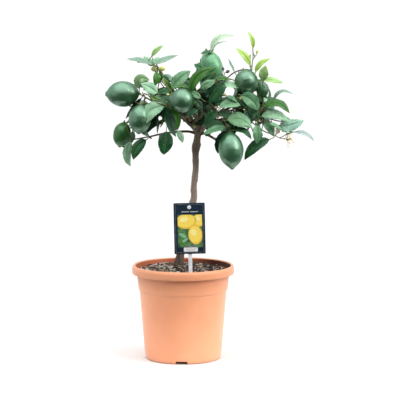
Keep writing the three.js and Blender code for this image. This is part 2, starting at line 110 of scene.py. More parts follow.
# Sprays at the front of the crown: kind, foot of blade, tip, width, facing, bow, fold. Millimetres.
# Each blade's kind carries the light or shade it is seen in, painted into its colour.
SPRAY_LEAVES = (
    ('grey', (-57.0, -25.5, 574.9), (-107.3, -31.5, 586.0), 14.9, (0.147, -0.616, 0.774), (0.6, 0.4, 2.8), 0.20, 0),
    ('pale', (-54.1, -18.2, 573.7), (-75.6, -4.2, 589.8), 14.9, (0.162, -0.934, 0.32), (-0.7, -0.1, -0.9), 0.20, -1),
    ('grey', (-53.8, -41.2, 577.4), (-9.0, -37.2, 593.9), 14.3, (-0.225, -0.686, 0.692), (-0.3, 0.1, 0.7), 0.20, -1),
    ('young2', (-59.6, -27.4, 590.7), (-36.6, -27.4, 611.7), 10.4, (-0.231, -0.901, 0.366), (-1.2, 0.2, 1.3), 0.25, 0),
    ('pale', (-54.0, -23.3, 576.7), (-44.9, -9.3, 588.2), 10.4, (-0.272, -0.907, 0.323), (-0.8, 0.1, 0.6), 0.20, 0),
    ('bright', (-49.9, -48.9, 562.2), (-52.1, -56.9, 538.3), 17.2, (0.421, -0.904, 0.073), (1.2, -0.0, -0.1), 0.35, 0),
    ('dark', (-37.7, -40.0, 555.0), (-28.1, -40.0, 536.8), 12.4, (0.442, -0.831, 0.338), (1.4, 0.1, 0.7), 0.35, 0),
    ('bright', (-44.4, -36.3, 560.4), (-42.5, -36.3, 542.3), 10.4, (0.34, -0.928, 0.152), (0.8, 0.0, 0.1), 0.30, 0),
    ('grey', (-19.7, -25.7, 543.5), (-38.9, -25.7, 556.3), 12.7, (0.358, -0.694, 0.625), (1.1, 0.2, 1.6), 0.30, 0),
    ('olive', (-17.6, -42.8, 523.6), (-37.5, -48.8, 551.7), 12.9, (0.342, -0.869, 0.358), (-1.3, -0.1, -0.9), 0.35, 0),
    ('olive2', (-82.5, -59.0, 530.5), (-62.3, -63.0, 547.1), 19.4, (-0.164, -0.934, 0.318), (-8.4, 1.3, 10.2), 0.30, 0),
    ('pale', (-47.7, -77.1, 523.8), (-79.1, -77.1, 542.0), 22.0, (0.171, -0.896, 0.41), (0.6, 0.1, 1.0), 0.20, 0),
    ('dark', (-46.0, -57.7, 522.8), (-21.2, -57.7, 526.6), 13.5, (-0.076, -0.798, 0.598), (-0.2, 0.1, 1.1), 0.30, 0),
    ('dark', (-22.6, -29.1, 520.7), (-48.6, -23.1, 527.9), 13.5, (0.097, -0.892, 0.442), (0.3, 0.1, 0.9), 0.30, 0),
    ('olive', (-44.9, -68.0, 511.2), (-62.9, -68.0, 519.7), 10.4, (0.214, -0.803, 0.556), (-0.8, -0.2, -1.7), 0.35, 0),
    ('dark', (-79.2, -27.6, 511.0), (-110.4, -23.6, 471.0), 13.4, (-0.485, -0.735, 0.474), (1.8, -0.2, -1.4), 0.30, 0),
    ('mid', (-22.2, -58.4, 500.9), (-51.7, -58.4, 517.1), 22.1, (0.18, -0.879, 0.441), (0.9, 0.2, 1.7), 0.25, 0),
    ('pale', (-34.4, -82.0, 500.3), (-76.0, -88.0, 460.9), 30.7, (-0.259, -0.887, 0.384), (-7.0, 0.9, 7.3), 0.20, 0),
    ('dark', (-32.7, -56.3, 493.1), (-62.4, -52.3, 471.7), 14.3, (-0.332, -0.755, 0.565), (0.9, -0.2, -1.3), 0.30, 0),
    ('dark', (-46.2, -52.0, 483.2), (-70.2, -52.0, 444.3), 13.3, (-0.36, -0.872, 0.332), (1.3, -0.1, -0.8), 0.30, 0),
    ('pale', (-64.3, -57.8, 440.2), (-81.3, -61.8, 449.0), 9.5, (0.22, -0.804, 0.553), (0.5, 0.1, 1.0), 0.25, 0),
    ('dark', (-69.7, -57.9, 433.3), (-94.1, -61.9, 395.4), 22.3, (-0.175, -0.957, 0.232), (-4.9, 0.4, 3.1), 0.30, 0),
    ('pale', (-98.8, -43.9, 428.9), (-99.6, -47.9, 381.4), 18.5, (0.423, -0.9, 0.105), (-8.6, 0.0, 0.1), 0.30, 0),
    ('pale', (-96.4, -31.7, 447.8), (-99.6, -31.7, 422.7), 11.7, (0.496, -0.867, 0.047), (0.8, -0.0, -0.1), 0.30, 0),
    ('grey', (-48.7, -54.0, 477.6), (-49.1, -54.0, 443.7), 12.0, (0.906, -0.421, 0.042), (0.4, -0.0, -0.0), 0.20, 0),
    ('olive', (-36.6, -57.1, 484.6), (-43.3, -57.1, 455.9), 11.7, (0.843, -0.521, -0.133), (0.8, -0.0, -0.2), 0.20, 0),
    ('dark', (-31.1, -78.2, 451.3), (-36.3, -82.2, 407.1), 29.6, (0.138, -0.985, 0.107), (0.8, -0.0, -0.1), 0.22, 0),
    ('dark2', (-31.3, -88.2, 499.2), (-12.4, -94.2, 442.5), 21.2, (0.503, -0.821, 0.27), (-3.7, -0.2, -1.2), 0.35, 0),
    ('bright', (-27.7, -75.4, 498.2), (-9.5, -75.4, 453.3), 16.2, (0.463, -0.836, 0.294), (6.1, 0.3, 2.5), 0.35, 0),
    ('pale', (-10.3, -72.2, 452.3), (-0.1, -76.2, 429.4), 12.9, (0.313, -0.915, 0.254), (1.4, 0.1, 0.6), 0.20, 0),
    ('dark', (-5.1, -62.3, 486.9), (-22.2, -62.3, 467.8), 10.4, (-0.254, -0.904, 0.343), (0.0, -0.0, -0.0), 0.30, 0),
    ('mid2', (-20.3, -58.7, 531.2), (14.8, -58.7, 565.1), 25.7, (-0.26, -0.887, 0.382), (-1.4, 0.2, 1.4), 0.30, 0),
    ('bright', (13.1, -75.7, 532.4), (-15.3, -75.7, 534.3), 13.3, (0.058, -0.389, 0.919), (0.3, 0.5, 3.9), 0.30, 0),
    ('bright', (16.4, -89.8, 526.6), (63.9, -95.8, 571.9), 22.6, (-0.279, -0.87, 0.406), (-8.3, 1.1, 8.7), 0.38, 0),
    ('mid2', (33.8, -77.2, 533.3), (63.3, -77.2, 548.4), 18.9, (-0.228, -0.804, 0.549), (-0.4, 0.1, 0.7), 0.22, 0),
    ('dark2', (61.4, -78.7, 544.8), (41.7, -78.7, 516.7), 9.5, (-0.409, -0.824, 0.392), (1.0, -0.1, -0.7), 0.30, 0),
    ('mid2', (33.9, -79.2, 514.5), (11.8, -79.2, 527.0), 13.3, (0.168, -0.896, 0.412), (0.6, 0.1, 1.0), 0.30, 0),
    ('dark', (53.9, -61.0, 557.2), (39.7, -61.0, 544.9), 12.5, (-0.224, -0.901, 0.373), (0.0, -0.0, -0.0), 0.30, 0),
    ('mid', (8.4, -80.1, 479.8), (31.1, -80.1, 495.0), 13.5, (-0.277, -0.808, 0.52), (-0.9, 0.2, 1.3), 0.30, 0),
    ('grey', (-4.1, -65.3, 483.7), (23.5, -65.3, 486.2), 10.9, (-0.068, -0.543, 0.837), (-0.1, 0.2, 1.5), 0.25, 0),
    ('dark2', (21.6, -80.7, 511.2), (39.6, -80.7, 493.1), 12.5, (0.242, -0.903, 0.356), (0.8, 0.1, 0.8), 0.30, 0),
    ('dark', (58.5, 3.6, 594.0), (34.2, -8.4, 593.9), 10.9, (-0.026, -0.468, 0.883), (-0.1, 0.4, 3.1), 0.20, 0),
    ('dark', (39.1, -68.7, 568.4), (22.0, -68.7, 578.6), 14.9, (0.257, -0.806, 0.533), (-0.2, -0.0, -0.3), 0.35, 0),
    ('white', (53.9, 15.1, 598.0), (99.1, 15.1, 628.1), 14.3, (-0.318, -0.754, 0.575), (-6.1, 1.1, 9.0), 0.25, 0),
    ('mid2', (55.8, 5.8, 599.3), (85.1, 5.8, 618.2), 9.3, (-0.509, -0.242, 0.826), (-2.5, 0.5, 3.9), 0.20, 0),
    ('bright', (87.9, -74.8, 549.8), (56.7, -74.8, 547.9), 11.2, (-0.039, -0.681, 0.731), (-0.1, 0.2, 1.5), 0.30, 0),
    ('pale', (68.2, -75.9, 540.4), (106.1, -75.9, 533.2), 16.8, (0.12, -0.682, 0.721), (0.6, 0.4, 3.0), 0.20, 0),
    ('dark', (78.4, -79.1, 544.4), (50.0, -79.1, 505.4), 26.3, (-0.209, -0.94, 0.271), (0.9, -0.1, -0.7), 0.20, 0),
    ('grey', (101.9, -76.2, 533.6), (96.3, -76.2, 515.8), 9.5, (0.78, -0.6, -0.176), (0.0, -0.0, -0.0), 0.20, 0),
    ('grey', (99.0, -65.2, 562.5), (86.8, -65.2, 589.4), 10.1, (0.79, -0.452, 0.415), (-1.1, -0.1, -0.5), 0.20, 0),
    ('young', (134.5, -13.9, 605.3), (123.9, -13.9, 638.6), 10.8, (0.477, -0.841, 0.257), (2.6, 0.1, 0.8), 0.30, 0),
    ('young', (128.8, -54.8, 575.1), (100.9, -58.8, 608.4), 15.0, (0.36, -0.839, 0.409), (1.8, 0.2, 1.5), 0.30, 0),
    ('young', (138.5, -51.9, 561.6), (167.3, -51.9, 587.9), 12.1, (-0.284, -0.861, 0.423), (-3.4, 0.5, 3.7), 0.30, 0),
    ('young2', (152.9, -56.4, 545.9), (157.5, -62.4, 575.9), 19.4, (-0.255, -0.953, 0.162), (-0.8, 0.0, 0.1), 0.20, 0),
    ('young2', (154.0, -54.8, 547.0), (191.8, -54.8, 541.6), 14.9, (0.099, -0.615, 0.782), (0.3, 0.2, 1.9), 0.25, 0),
    ('young2', (159.0, -42.1, 547.3), (171.6, -42.1, 552.2), 6.1, (-0.236, -0.686, 0.688), (-0.3, 0.1, 0.7), 0.25, 0),
    ('young', (128.1, -38.0, 582.9), (129.6, -38.0, 596.6), 4.5, (-0.497, -0.853, 0.162), (-0.4, 0.0, 0.0), 0.20, 0),
    ('mid', (83.6, -91.9, 519.2), (104.0, -91.9, 507.5), 10.5, (0.352, -0.626, 0.696), (0.6, 0.1, 1.0), 0.30, 0),
    ('mid2', (70.0, -92.8, 498.9), (109.3, -92.8, 501.9), 20.0, (-0.044, -0.742, 0.669), (-0.3, 0.4, 3.5), 0.25, 0),
    ('dark', (93.6, -79.6, 510.0), (62.5, -79.6, 502.7), 12.4, (-0.129, -0.744, 0.656), (-0.2, 0.1, 0.8), 0.30, 0),
    ('mid2', (85.2, -88.8, 473.9), (130.6, -88.8, 459.5), 30.8, (0.123, -0.859, 0.498), (2.2, 0.9, 7.0), 0.20, 0),
    ('mid', (69.1, -65.2, 487.1), (93.9, -65.2, 473.8), 14.5, (0.162, -0.895, 0.415), (0.4, 0.1, 0.7), 0.30, 0),
    ('mid', (111.2, -87.2, 520.4), (141.8, -91.2, 491.9), 27.1, (0.142, -0.952, 0.271), (4.0, 0.5, 4.2), 0.34, 0),
    ('dark', (110.7, -75.2, 508.9), (122.1, -75.2, 493.7), 9.9, (0.139, -0.964, 0.225), (0.0, 0.0, 0.0), 0.30, 0),
    ('dark2', (121.3, -72.8, 488.7), (132.7, -72.8, 468.7), 12.9, (0.225, -0.943, 0.247), (0.0, 0.0, 0.0), 0.30, 0),
    ('dark', (64.1, -80.2, 489.1), (41.3, -80.2, 462.9), 19.3, (-0.233, -0.919, 0.319), (-0.6, 0.1, 0.5), 0.30, 0),
    ('mid', (81.0, -91.3, 460.5), (39.0, -95.3, 447.5), 16.8, (-0.185, -0.709, 0.68), (-0.6, 0.2, 1.8), 0.25, 0),
    ('dark2', (55.8, -76.5, 450.8), (42.5, -76.5, 442.0), 8.2, (-0.353, -0.694, 0.628), (0.0, -0.0, -0.0), 0.25, 0),
    ('mid', (78.3, -64.6, 462.3), (40.2, -64.6, 458.1), 18.9, (-0.055, -0.798, 0.6), (-0.2, 0.2, 1.9), 0.30, 0),
    ('dark2', (83.7, -57.8, 450.2), (67.8, -57.8, 406.5), 17.9, (0.321, -0.947, -0.001), (-6.6, 0.3, 2.4), 0.30, 0),
    ('dark', (97.0, -84.5, 453.8), (130.3, -88.5, 437.4), 15.3, (0.287, -0.689, 0.665), (2.8, 0.7, 5.5), 0.30, 0),
    ('mid', (139.6, -79.2, 463.6), (140.4, -83.2, 428.1), 19.4, (0.259, -0.958, 0.125), (1.2, 0.0, 0.0), 0.25, 0),
    ('dark', (95.6, -76.4, 470.9), (86.2, -76.4, 450.0), 9.9, (-0.158, -0.968, 0.193), (0.0, -0.0, -0.0), 0.30, 0),
    ('dark', (142.2, -69.3, 490.3), (144.2, -69.3, 471.3), 8.2, (0.64, -0.752, 0.158), (0.0, 0.0, 0.0), 0.30, 0),
    ('grey', (173.5, -38.2, 507.2), (211.3, -38.2, 519.1), 15.0, (-0.264, -0.362, 0.894), (-3.0, 1.2, 9.6), 0.20, 0),
    ('pale', (157.1, -50.3, 493.6), (163.8, -50.3, 531.8), 10.3, (-0.754, -0.621, 0.214), (5.8, -0.1, -1.0), 0.20, 0),
    ('bright', (154.1, -58.6, 496.1), (203.4, -64.6, 484.4), 19.8, (0.147, -0.708, 0.691), (3.1, 1.5, 12.4), 0.25, 0),
    ('pale', (150.4, -58.9, 478.2), (201.1, -58.9, 468.7), 23.0, (0.098, -0.777, 0.622), (1.4, 0.9, 7.2), 0.22, 0),
    ('teal', (185.4, -42.1, 455.3), (232.0, -42.1, 469.5), 25.0, (-0.09, -0.907, 0.411), (0.8, -0.3, -2.6), 0.18, -2),
    ('mid', (155.0, -60.1, 465.3), (174.1, -60.1, 442.0), 18.3, (0.265, -0.906, 0.331), (1.2, 0.1, 1.0), 0.30, 0),
    ('mid2', (165.1, -70.5, 465.8), (188.0, -70.5, 454.0), 10.3, (0.352, -0.554, 0.755), (0.7, 0.2, 1.4), 0.30, 0),
    ('dark', (165.0, -70.1, 435.3), (117.9, -74.1, 396.3), 22.5, (-0.155, -0.94, 0.305), (-4.2, 0.6, 5.1), 0.25, 0),
    ('steel', (216.7, 3.3, 442.7), (255.1, 3.3, 424.4), 12.2, (0.276, -0.688, 0.671), (2.0, 0.5, 4.2), 0.22, 0),
    ('grey', (193.8, -26.6, 437.7), (214.5, -26.6, 445.8), 6.2, (-0.314, -0.396, 0.863), (-0.1, 0.0, 0.4), 0.20, 0),
)
FRUITS = (
    ('green', (-82.7, -34, 519.5), (-148.9, -34, 519.1), 49.2),
    ('fresh', (-112.1, -36, 465.9), (-121.7, -38, 416.4), 34.0),
    ('green', (-78.0, -66, 502.4), (-83.8, -76, 445.4), 43.7),
    ('green', (22.8, -96, 507.4), (-26.1, -102, 516.6), 45.3),
    ('light', (45.4, 14, 598.9), (67.4, 0, 541.0), 40.2),
    ('green', (115.5, -58, 567.3), (127.6, -66, 520.3), 44.9),
    ('small', (154.0, -36, 512.4), (151.0, -28, 544.4), 24.6),
    ('mid', (89.4, -86, 452.0), (94.3, -90, 379.1), 46.4),
)
STEMS = (
    ('green', ((12.9, -40, 459.0), (-1.7, -58, 474.7), (-14.4, -74, 486.7), (-30.4, -84, 500.6), (-50.7, -78, 506.8), (-65.9, -60, 512.6), (-81.8, -36, 518.9)), 1.30, 1.10),
    ('green', ((-77.0, -44, 522.9), (-72.4, -60, 514.4), (-75.5, -68, 503.4), (-77.6, -68, 499.9)), 1.20, 1.10),
    ('green', ((-30.4, -84, 500.6), (-24.7, -86, 513.5), (-22.8, -84, 522.8)), 1.10, 0.90),
    ('green', ((-39.0, -50, 543.2), (-33.6, -54, 538.5), (-27.1, -58, 532.3), (-19.1, -60, 524.8)), 1.00, 0.90),
    ('green', ((-22.6, -30, 518.8), (-38.1, -20, 533.5), (-48.5, -14, 550.4), (-54.0, -10, 563.6), (-55.2, -6, 573.9), (-59.4, -4, 589.4)), 1.10, 0.60),
    ('wood', ((-80.4, -29, 433.7), (-88.9, -34, 432.6), (-96.4, -40, 432.0)), 1.10, 0.90),
    ('green', ((-95.3, -44, 432.0), (-105.4, -50, 449.5), (-108.6, -44, 463.5), (-111.9, -37, 466.4)), 0.90, 0.90),
    ('wood', ((39.5, -30, 472.7), (39.9, -44, 493.1), (39.1, -56, 513.1), (40.2, -62, 526.9)), 2.20, 1.40),
    ('wood', ((39.5, -58, 510.4), (56.6, -86, 500.8), (76.4, -96, 475.5), (86.7, -94, 459.2), (89.4, -86, 451.6)), 0.95, 0.85),
    ('wood', ((39.9, -24, 444.4), (48.1, -40, 442.8), (62.6, -52, 436.2)), 0.90, 0.50),
    ('wood', ((57.8, -52, 539.5), (74.9, -50, 547.8), (84.5, -48, 550.7), (94.0, -46, 558.2), (102.7, -50, 563.4), (115.5, -56, 567.6)), 1.50, 1.10),
    ('green', ((131.0, -20, 514.3), (131.6, -16, 548.6), (133.1, -6, 571.1), (135.2, 4, 587.8), (134.8, 10, 604.5)), 1.40, 0.80),
    ('green', ((135.6, 2, 584.1), (141.0, 4, 591.3), (143.4, 6, 596.2)), 0.70, 0.60),
    ('green', ((144.9, -50, 472.5), (146.0, -50, 484.0), (153.4, -44, 495.0), (153.9, -38, 512.5)), 1.40, 1.20),
    ('wood', ((132.2, -56, 466.5), (151.4, -54, 451.8), (163.1, -48, 445.5), (176.7, -42, 440.3), (186.5, -36, 434.7), (208.2, -24, 430.5)), 1.20, 0.60),
    ('wood', ((10.0, -34, 463.4), (7.0, -46, 476.7), (14.8, -70, 495.1), (23.6, -92, 504.5)), 1.70, 1.20),
)
BLOSSOMS = (
    ('open', (185.5, -40, 447.4), 18.7),
    ('open', (210.4, -26, 432.6), 29.3),
    ('half', (78.0, -84, 520.5), 12.9),
    ('half', (62.4, -96, 498.0), 10.5),
    ('half', (140.4, -64, 467.2), 11.7),
    ('half', (148.1, -58, 469.0), 9.0),
    ('bud', (-54.2, -18, 565.6), 12.5),
    ('bud', (-40.7, -18, 566.0), 12.1),
    ('purple', (76.9, -44, 568.0), 6.2),
    ('purple', (85.6, -44, 562.6), 7.4),
    ('purple', (76.1, -48, 554.1), 5.9),
    ('bud', (143.5, 6, 598.1), 6.2),
    ('bud', (110.3, -60, 513.4), 6.6),
    ('bud', (-27.5, -84, 521.7), 5.1),
    ('bud', (2.4, -44, 468.1), 4.7),
    ('bud', (23.4, -30, 456.5), 5.1),
)
DENSE = (
    (52, 513, 25, 20),
    (81, 474, 18, 12),
    (29, 491, 18, 21),
    (19, 468, 16, 14),
    (48, 482, 16, 23),
    (76, 497, 27, 8),
    (103, 478, 16, 16),
    (116, 503, 16, 16),
    (130, 478, 14, 14),
    (-35, 513, 20, 16),
    (-21, 497, 16, 16),
    (153, 470, 18, 14),
    (-2, 536, 20, 12),
    (43, 551, 20, 12),
    (-33, 482, 12, 12),
    (-54, 459, 8, 10),
    (43, 459, 18, 14),
    (95, 459, 12, 14),
    (122, 528, 20, 12),
    (153, 497, 8, 6),
)

# ------------------------------------------------------------------ colours and materials
def lin(r, g, b):
    f = lambda c: c / 12.92 if c <= 0.04045 else ((c + 0.055) / 1.055) ** 2.4
    return (f(r / 255.0), f(g / 255.0), f(b / 255.0), 1.0)


class Paint:
    """A procedural material: mottled colour, broken roughness and bump, all in object space."""

    def __init__(self, name, rough=0.5, **fixed):
        self.mat = bpy.data.materials.new(name)
        self.mat.use_nodes = True
        self.t = self.mat.node_tree
        self.b = self.t.nodes["Principled BSDF"]
        self.b.inputs["Roughness"].default_value = rough
        for k, v in fixed.items():
            self.b.inputs[k.replace("_", " ")].default_value = v
        self.co = self.t.nodes.new("ShaderNodeTexCoord").outputs["Object"]
        self.normal = None

    def stretch(self, sx, sy, sz):
        m = self.t.nodes.new("ShaderNodeMapping")
        m.inputs["Scale"].default_value = (sx, sy, sz)
        self.t.links.new(self.co, m.inputs["Vector"])
        return m.outputs["Vector"]

    def place(self, axis):
        n = self.t.nodes.new("ShaderNodeSeparateXYZ")
        self.t.links.new(self.co, n.inputs[0])
        return n.outputs[axis]

    def noise(self, scale, detail=3.0, rough=0.5, co=None):
        n = self.t.nodes.new("ShaderNodeTexNoise")
        n.inputs["Scale"].default_value = scale
        n.inputs["Detail"].default_value = detail
        n.inputs["Roughness"].default_value = rough
        self.t.links.new(co or self.co, n.inputs["Vector"])
        return n.outputs["Fac"]

    def voronoi(self, scale, co=None, feature="F1"):
        n = self.t.nodes.new("ShaderNodeTexVoronoi")
        n.feature = feature
        n.inputs["Scale"].default_value = scale
        self.t.links.new(co or self.co, n.inputs["Vector"])
        return n.outputs["Distance"]

    def ramp(self, fac, stops):
        r = self.t.nodes.new("ShaderNodeValToRGB")
        e = r.color_ramp.elements
        e[0].position, e[0].color = stops[0]
        e[1].position, e[1].color = stops[-1]
        for p, c in stops[1:-1]:
            x = e.new(p)
            x.color = c
        self.t.links.new(fac, r.inputs["Fac"])
        return r.outputs["Color"]

    def mix(self, fac, a, b, mode="MIX"):
        m = self.t.nodes.new("ShaderNodeMix")
        m.data_type, m.blend_type = "RGBA", mode
        for sock, val in ((m.inputs[0], fac), (m.inputs[6], a), (m.inputs[7], b)):
            if hasattr(val, "links"):
                self.t.links.new(val, sock)
            else:
                sock.default_value = val
        return m.outputs[2]

    def scale(self, v, lo, hi, a=0.0, b=1.0):
        m = self.t.nodes.new("ShaderNodeMapRange")
        for k, x in zip(("From Min", "From Max", "To Min", "To Max"), (lo, hi, a, b)):
            m.inputs[k].default_value = x
        self.t.links.new(v, m.inputs["Value"])
        return m.outputs["Result"]

    def colour(self, out):
        self.t.links.new(out, self.b.inputs["Base Color"])
        return self

    def roughness(self, out):
        self.t.links.new(out, self.b.inputs["Roughness"])
        return self

    def bump(self, height, strength, distance):
        n = self.t.nodes.new("ShaderNodeBump")
        n.inputs["Strength"].default_value = strength
        n.inputs["Distance"].default_value = distance
        self.t.links.new(height, n.inputs["Height"])
        if self.normal is not None:
            self.t.links.new(self.normal, n.inputs["Normal"])
        self.normal = n.outputs["Normal"]
        self.t.links.new(self.normal, self.b.inputs["Normal"])
        return self


def leaf_paint(name, dark, light, rough, spec=0.5, coat=0.0, coat_rough=0.2):
    p = Paint(name, rough)
    p.b.inputs["IOR"].default_value = 1.6
    p.b.inputs["Specular IOR Level"].default_value = spec
    p.b.inputs["Specular Tint"].default_value = (.76, 1, .86, 1)
    p.b.inputs["Coat Weight"].default_value = coat
    p.b.inputs["Coat Roughness"].default_value = coat_rough
    big, small = p.noise(38, 2), p.noise(420, 3)
    c = p.ramp(big, [(0.3, lin(*dark)), (0.72, lin(*light))])
    c = p.mix(p.scale(small, .35, .75, 0, .35), c, lin(*[min(255, x * 1.25 + 8) for x in light]))
    p.colour(c)
    p.roughness(p.scale(small, .2, .8, rough - .06, rough + .1))
    p.bump(small, .25, .0006)
    p.bump(p.voronoi(900), .12, .0003)
    return p.mat


# Several kinds are lit and shaded copies of the leaf green: pale, white, teal, steel and grey carry a painted
# reflection of the overhead light, and dark and dark2 carry painted shade.
LEAF_KINDS = {
    # name: (dark, light, roughness, specular, coat, coat roughness)
    "dark": ((12, 48, 24), (30, 86, 44), .42, .3, .08, .25),
    "dark2": ((6, 33, 20), (20, 64, 38), .44, .26, .06, .28),
    "mid": ((52, 98, 68), (88, 136, 96), .4, .4, .12, .25),
    "mid2": ((70, 115, 78), (105, 152, 109), .4, .5, .2, .25),
    "pale": ((102, 148, 115), (134, 176, 141), .4, .5, .25, .28),
    "white": ((157, 190, 157), (188, 215, 184), .45, .5, .1, .3),
    "teal": ((106, 156, 134), (162, 204, 184), .42, .5, .2, .3),
    "steel": ((128, 144, 144), (157, 172, 174), .45, .5, .1, .3),
    "grey": ((92, 120, 103), (122, 151, 133), .46, .4, .1, .3),
    "olive": ((51, 80, 21), (91, 126, 48), .4, .4, .12, .3),
    "olive2": ((90, 124, 80), (122, 158, 110), .42, .45, .1, .3),
    "bright": ((22, 67, 7), (53, 109, 16), .38, .36, .1, .25),
    "young": ((128, 165, 58), (162, 194, 94), .42, .4, .1, .3),
    "young2": ((122, 160, 88), (156, 194, 123), .42, .4, .1, .3),
}


def blend(a, b, k):
    return tuple(x * (1 - k) + y * k for x, y in zip(a, b))


UNDER = leaf_paint("leaf_underside", (50, 88, 52), (84, 124, 80), .55, .35)
UNDER_YOUNG = leaf_paint("leaf_underside_young", (106, 142, 50), (138, 172, 80), .55, .35)
LEAF_MATS = {k: [leaf_paint("leaf_" + k, *v),
                 leaf_paint("rib_" + k, blend(v[0], (150, 190, 120), .2), blend(v[1], (160, 200, 130), .3), .45, .45),
                 UNDER_YOUNG if k in ("young", "young2") else UNDER] for k, v in LEAF_KINDS.items()}


def bark_paint(name, a, b, c, fine=1.0, tone_and_painted_light_by_height=False):
    p = Paint(name, .85)
    p.b.inputs["Specular IOR Level"].default_value = .25
    streak = p.noise(210 * fine, 5, .6, p.stretch(1, 1, .16))
    patch = p.noise(46, 3)
    spots = p.voronoi(330 * fine)
    col = p.ramp(streak, [(0.3, lin(*a)), (0.52, lin(*b)), (0.74, lin(*c))])
    col = p.mix(p.scale(patch, .4, .7, 0, .55), col, lin(*[x * .62 for x in b]))
    col = p.mix(p.scale(spots, 0, .16, .4, 0), col, lin(*[min(255, x * 1.25) for x in c]))
    if tone_and_painted_light_by_height:
        # paler half way up, darker at the foot and in a band below the fork, and paler again over the fork and up the
        # boughs: painted light there, where the crown shades the fork
        height = p.scale(p.place("Z"), .18, .48)
        pale = p.ramp(height, [(.10, (0, 0, 0, 1)), (.26, (.5, .5, .5, 1)), (.60, (.6, .6, .6, 1)), (.76, (.22, .22, .22, 1)), (.86, (.78, .78, .78, 1)), (1, (.85, .85, .85, 1))])
        col = p.mix(pale, col, lin(190, 172, 156))
        darker_foot_and_band = p.ramp(height, [(.0, (.55, .55, .55, 1)), (.16, (0, 0, 0, 1)), (.70, (0, 0, 0, 1)), (.76, (.12, .12, .12, 1)), (.82, (0, 0, 0, 1))])
        col = p.mix(darker_foot_and_band, col, lin(46, 38, 36))
    p.colour(col)
    p.roughness(p.scale(streak, .2, .8, .72, .95))
    p.bump(streak, .7, .0011)
    p.bump(p.noise(900, 3), .35, .0005)
    return p.mat


BARK = bark_paint("bark", (66, 54, 50), (122, 106, 97), (168, 152, 141), tone_and_painted_light_by_height=True)
BARK_LIMB = bark_paint("bark_limb", (84, 74, 62), (132, 120, 100), (170, 158, 134))
TWIG_WOOD = bark_paint("twig_wood", (52, 50, 40), (92, 88, 66), (128, 124, 92), 1.6)
TWIG_GREEN = bark_paint("twig_green", (78, 92, 50), (112, 124, 76), (150, 158, 112), 1.6)


def plastic_pot(name="pot_terracotta_plastic", inside=False):
    p = Paint(name, .48)
    p.b.inputs["Specular IOR Level"].default_value = .42
    p.b.inputs["Sheen Weight"].default_value = .3
    p.b.inputs["Sheen Roughness"].default_value = .45
    p.b.inputs["Sheen Tint"].default_value = (1.0, .93, .86, 1.0)
    cloud, grain = p.noise(11, 3, .55), p.noise(1400, 2)
    drift = p.noise(5, 2, .5, p.stretch(1, 1, 2.6))
    c = p.ramp(cloud, [(0.25, lin(231, 154, 113)), (0.5, lin(236, 161, 120)), (0.78, lin(241, 169, 128))])
    c = p.mix(p.scale(drift, .45, .75, 0, .35), c, lin(232, 168, 130))
    scuff = p.noise(70, 4, .7, p.stretch(1, 1, .25))
    c = p.mix(p.scale(scuff, .62, .82, 0, .22), c, lin(236, 186, 158))
    if inside:
        # the bare band above the potting mix: painted shade, darkest towards +X, where the wall faces away from the
        # light on the right
        c = p.ramp(p.scale(p.place("X"), -.07, .06), [(0, lin(186, 106, 76)), (.45, lin(160, 88, 60)), (1, lin(70, 32, 20))])
        c = p.mix(p.scale(drift, .4, .75, 0, .3), c, lin(124, 70, 48))
        p.b.inputs["Sheen Weight"].default_value = 0.0
        p.b.inputs["Specular IOR Level"].default_value = .12
    else:
        # painted shade: a dark band on the wall just under the rim's skirt, where the rim shades it, and the rim itself
        # painted a little darker
        height = p.scale(p.place("Z"), .14, .19)
        tone_and_painted_light_by_height = p.ramp(height, [(0, (0, 0, 0, 1)), (.26, (.12, .12, .12, 1)), ((SKIRT_LOW * MM - .1425) / .05, (.08, .08, .08, 1)),
                               ((SKIRT_LOW * MM - .1385) / .05, (.14, .14, .14, 1)), (1, (.18, .18, .18, 1))])
        c = p.mix(tone_and_painted_light_by_height, c, lin(150, 84, 54))
    rings = p.t.nodes.new("ShaderNodeTexWave")
    rings.wave_type, rings.bands_direction = "BANDS", "Z"
    rings.inputs["Scale"].default_value = 150
    rings.inputs["Distortion"].default_value = .25
    p.t.links.new(p.co, rings.inputs["Vector"])
    p.colour(c)
    p.roughness(p.scale(p.noise(60, 4), .3, .75, .4, .56))
    p.bump(rings.outputs["Fac"], .05, .0003)
    p.bump(grain, .18, .00018)
    p.bump(scuff, .06, .0004)
    return p.mat


def soil_paint(name, a, b, c, scale=160):
    p = Paint(name, .93)
    p.b.inputs["Specular IOR Level"].default_value = .25
    n, m = p.noise(scale, 5, .65), p.noise(scale * 4, 4)
    p.colour(p.mix(p.scale(m, .4, .75, 0, .5), p.ramp(n, [(0.3, lin(*a)), (0.55, lin(*b)), (0.8, lin(*c))]), lin(*a)))
    p.roughness(p.scale(m, .2, .8, .82, .99))
    p.bump(n, .8, .002)
    p.bump(m, .6, .0008)
    return p.mat


SOIL = soil_paint("potting_mix", (26, 22, 20), (48, 40, 34), (78, 66, 54))
CHIPS = [soil_paint("chip_dark", (34, 28, 28), (58, 48, 46), (88, 76, 72), 260),
         soil_paint("chip_brown", (92, 68, 54), (136, 108, 90), (172, 144, 124), 260),
         soil_paint("chip_grey", (140, 132, 122), (184, 176, 166), (222, 214, 204), 260),
         soil_paint("chip_moss", (66, 72, 50), (100, 104, 78), (134, 136, 108), 260)]


def fruit_paint(name, a, b, c, ior=2.1, level=1.0):
    p = Paint(name, .36)
    p.b.inputs["IOR"].default_value = ior
    p.b.inputs["Specular IOR Level"].default_value = level
    p.b.inputs["Specular Tint"].default_value = (.55, .88, .68, 1)
    n, pores = p.noise(26, 3), p.voronoi(620)
    col = p.ramp(n, [(0.28, lin(*a)), (0.5, lin(*b)), (0.76, lin(*c))])
    col = p.mix(p.scale(pores, 0, .32, .45, 0), col, lin(*[x * .55 for x in a]))
    p.colour(col)
    p.roughness(p.scale(p.noise(300, 3), .3, .7, .33, .42))
    p.bump(p.scale(pores, 0, .5, 0, 1), .16, .0004)
    p.bump(p.noise(190, 2), .1, .0006)
    return p.mat


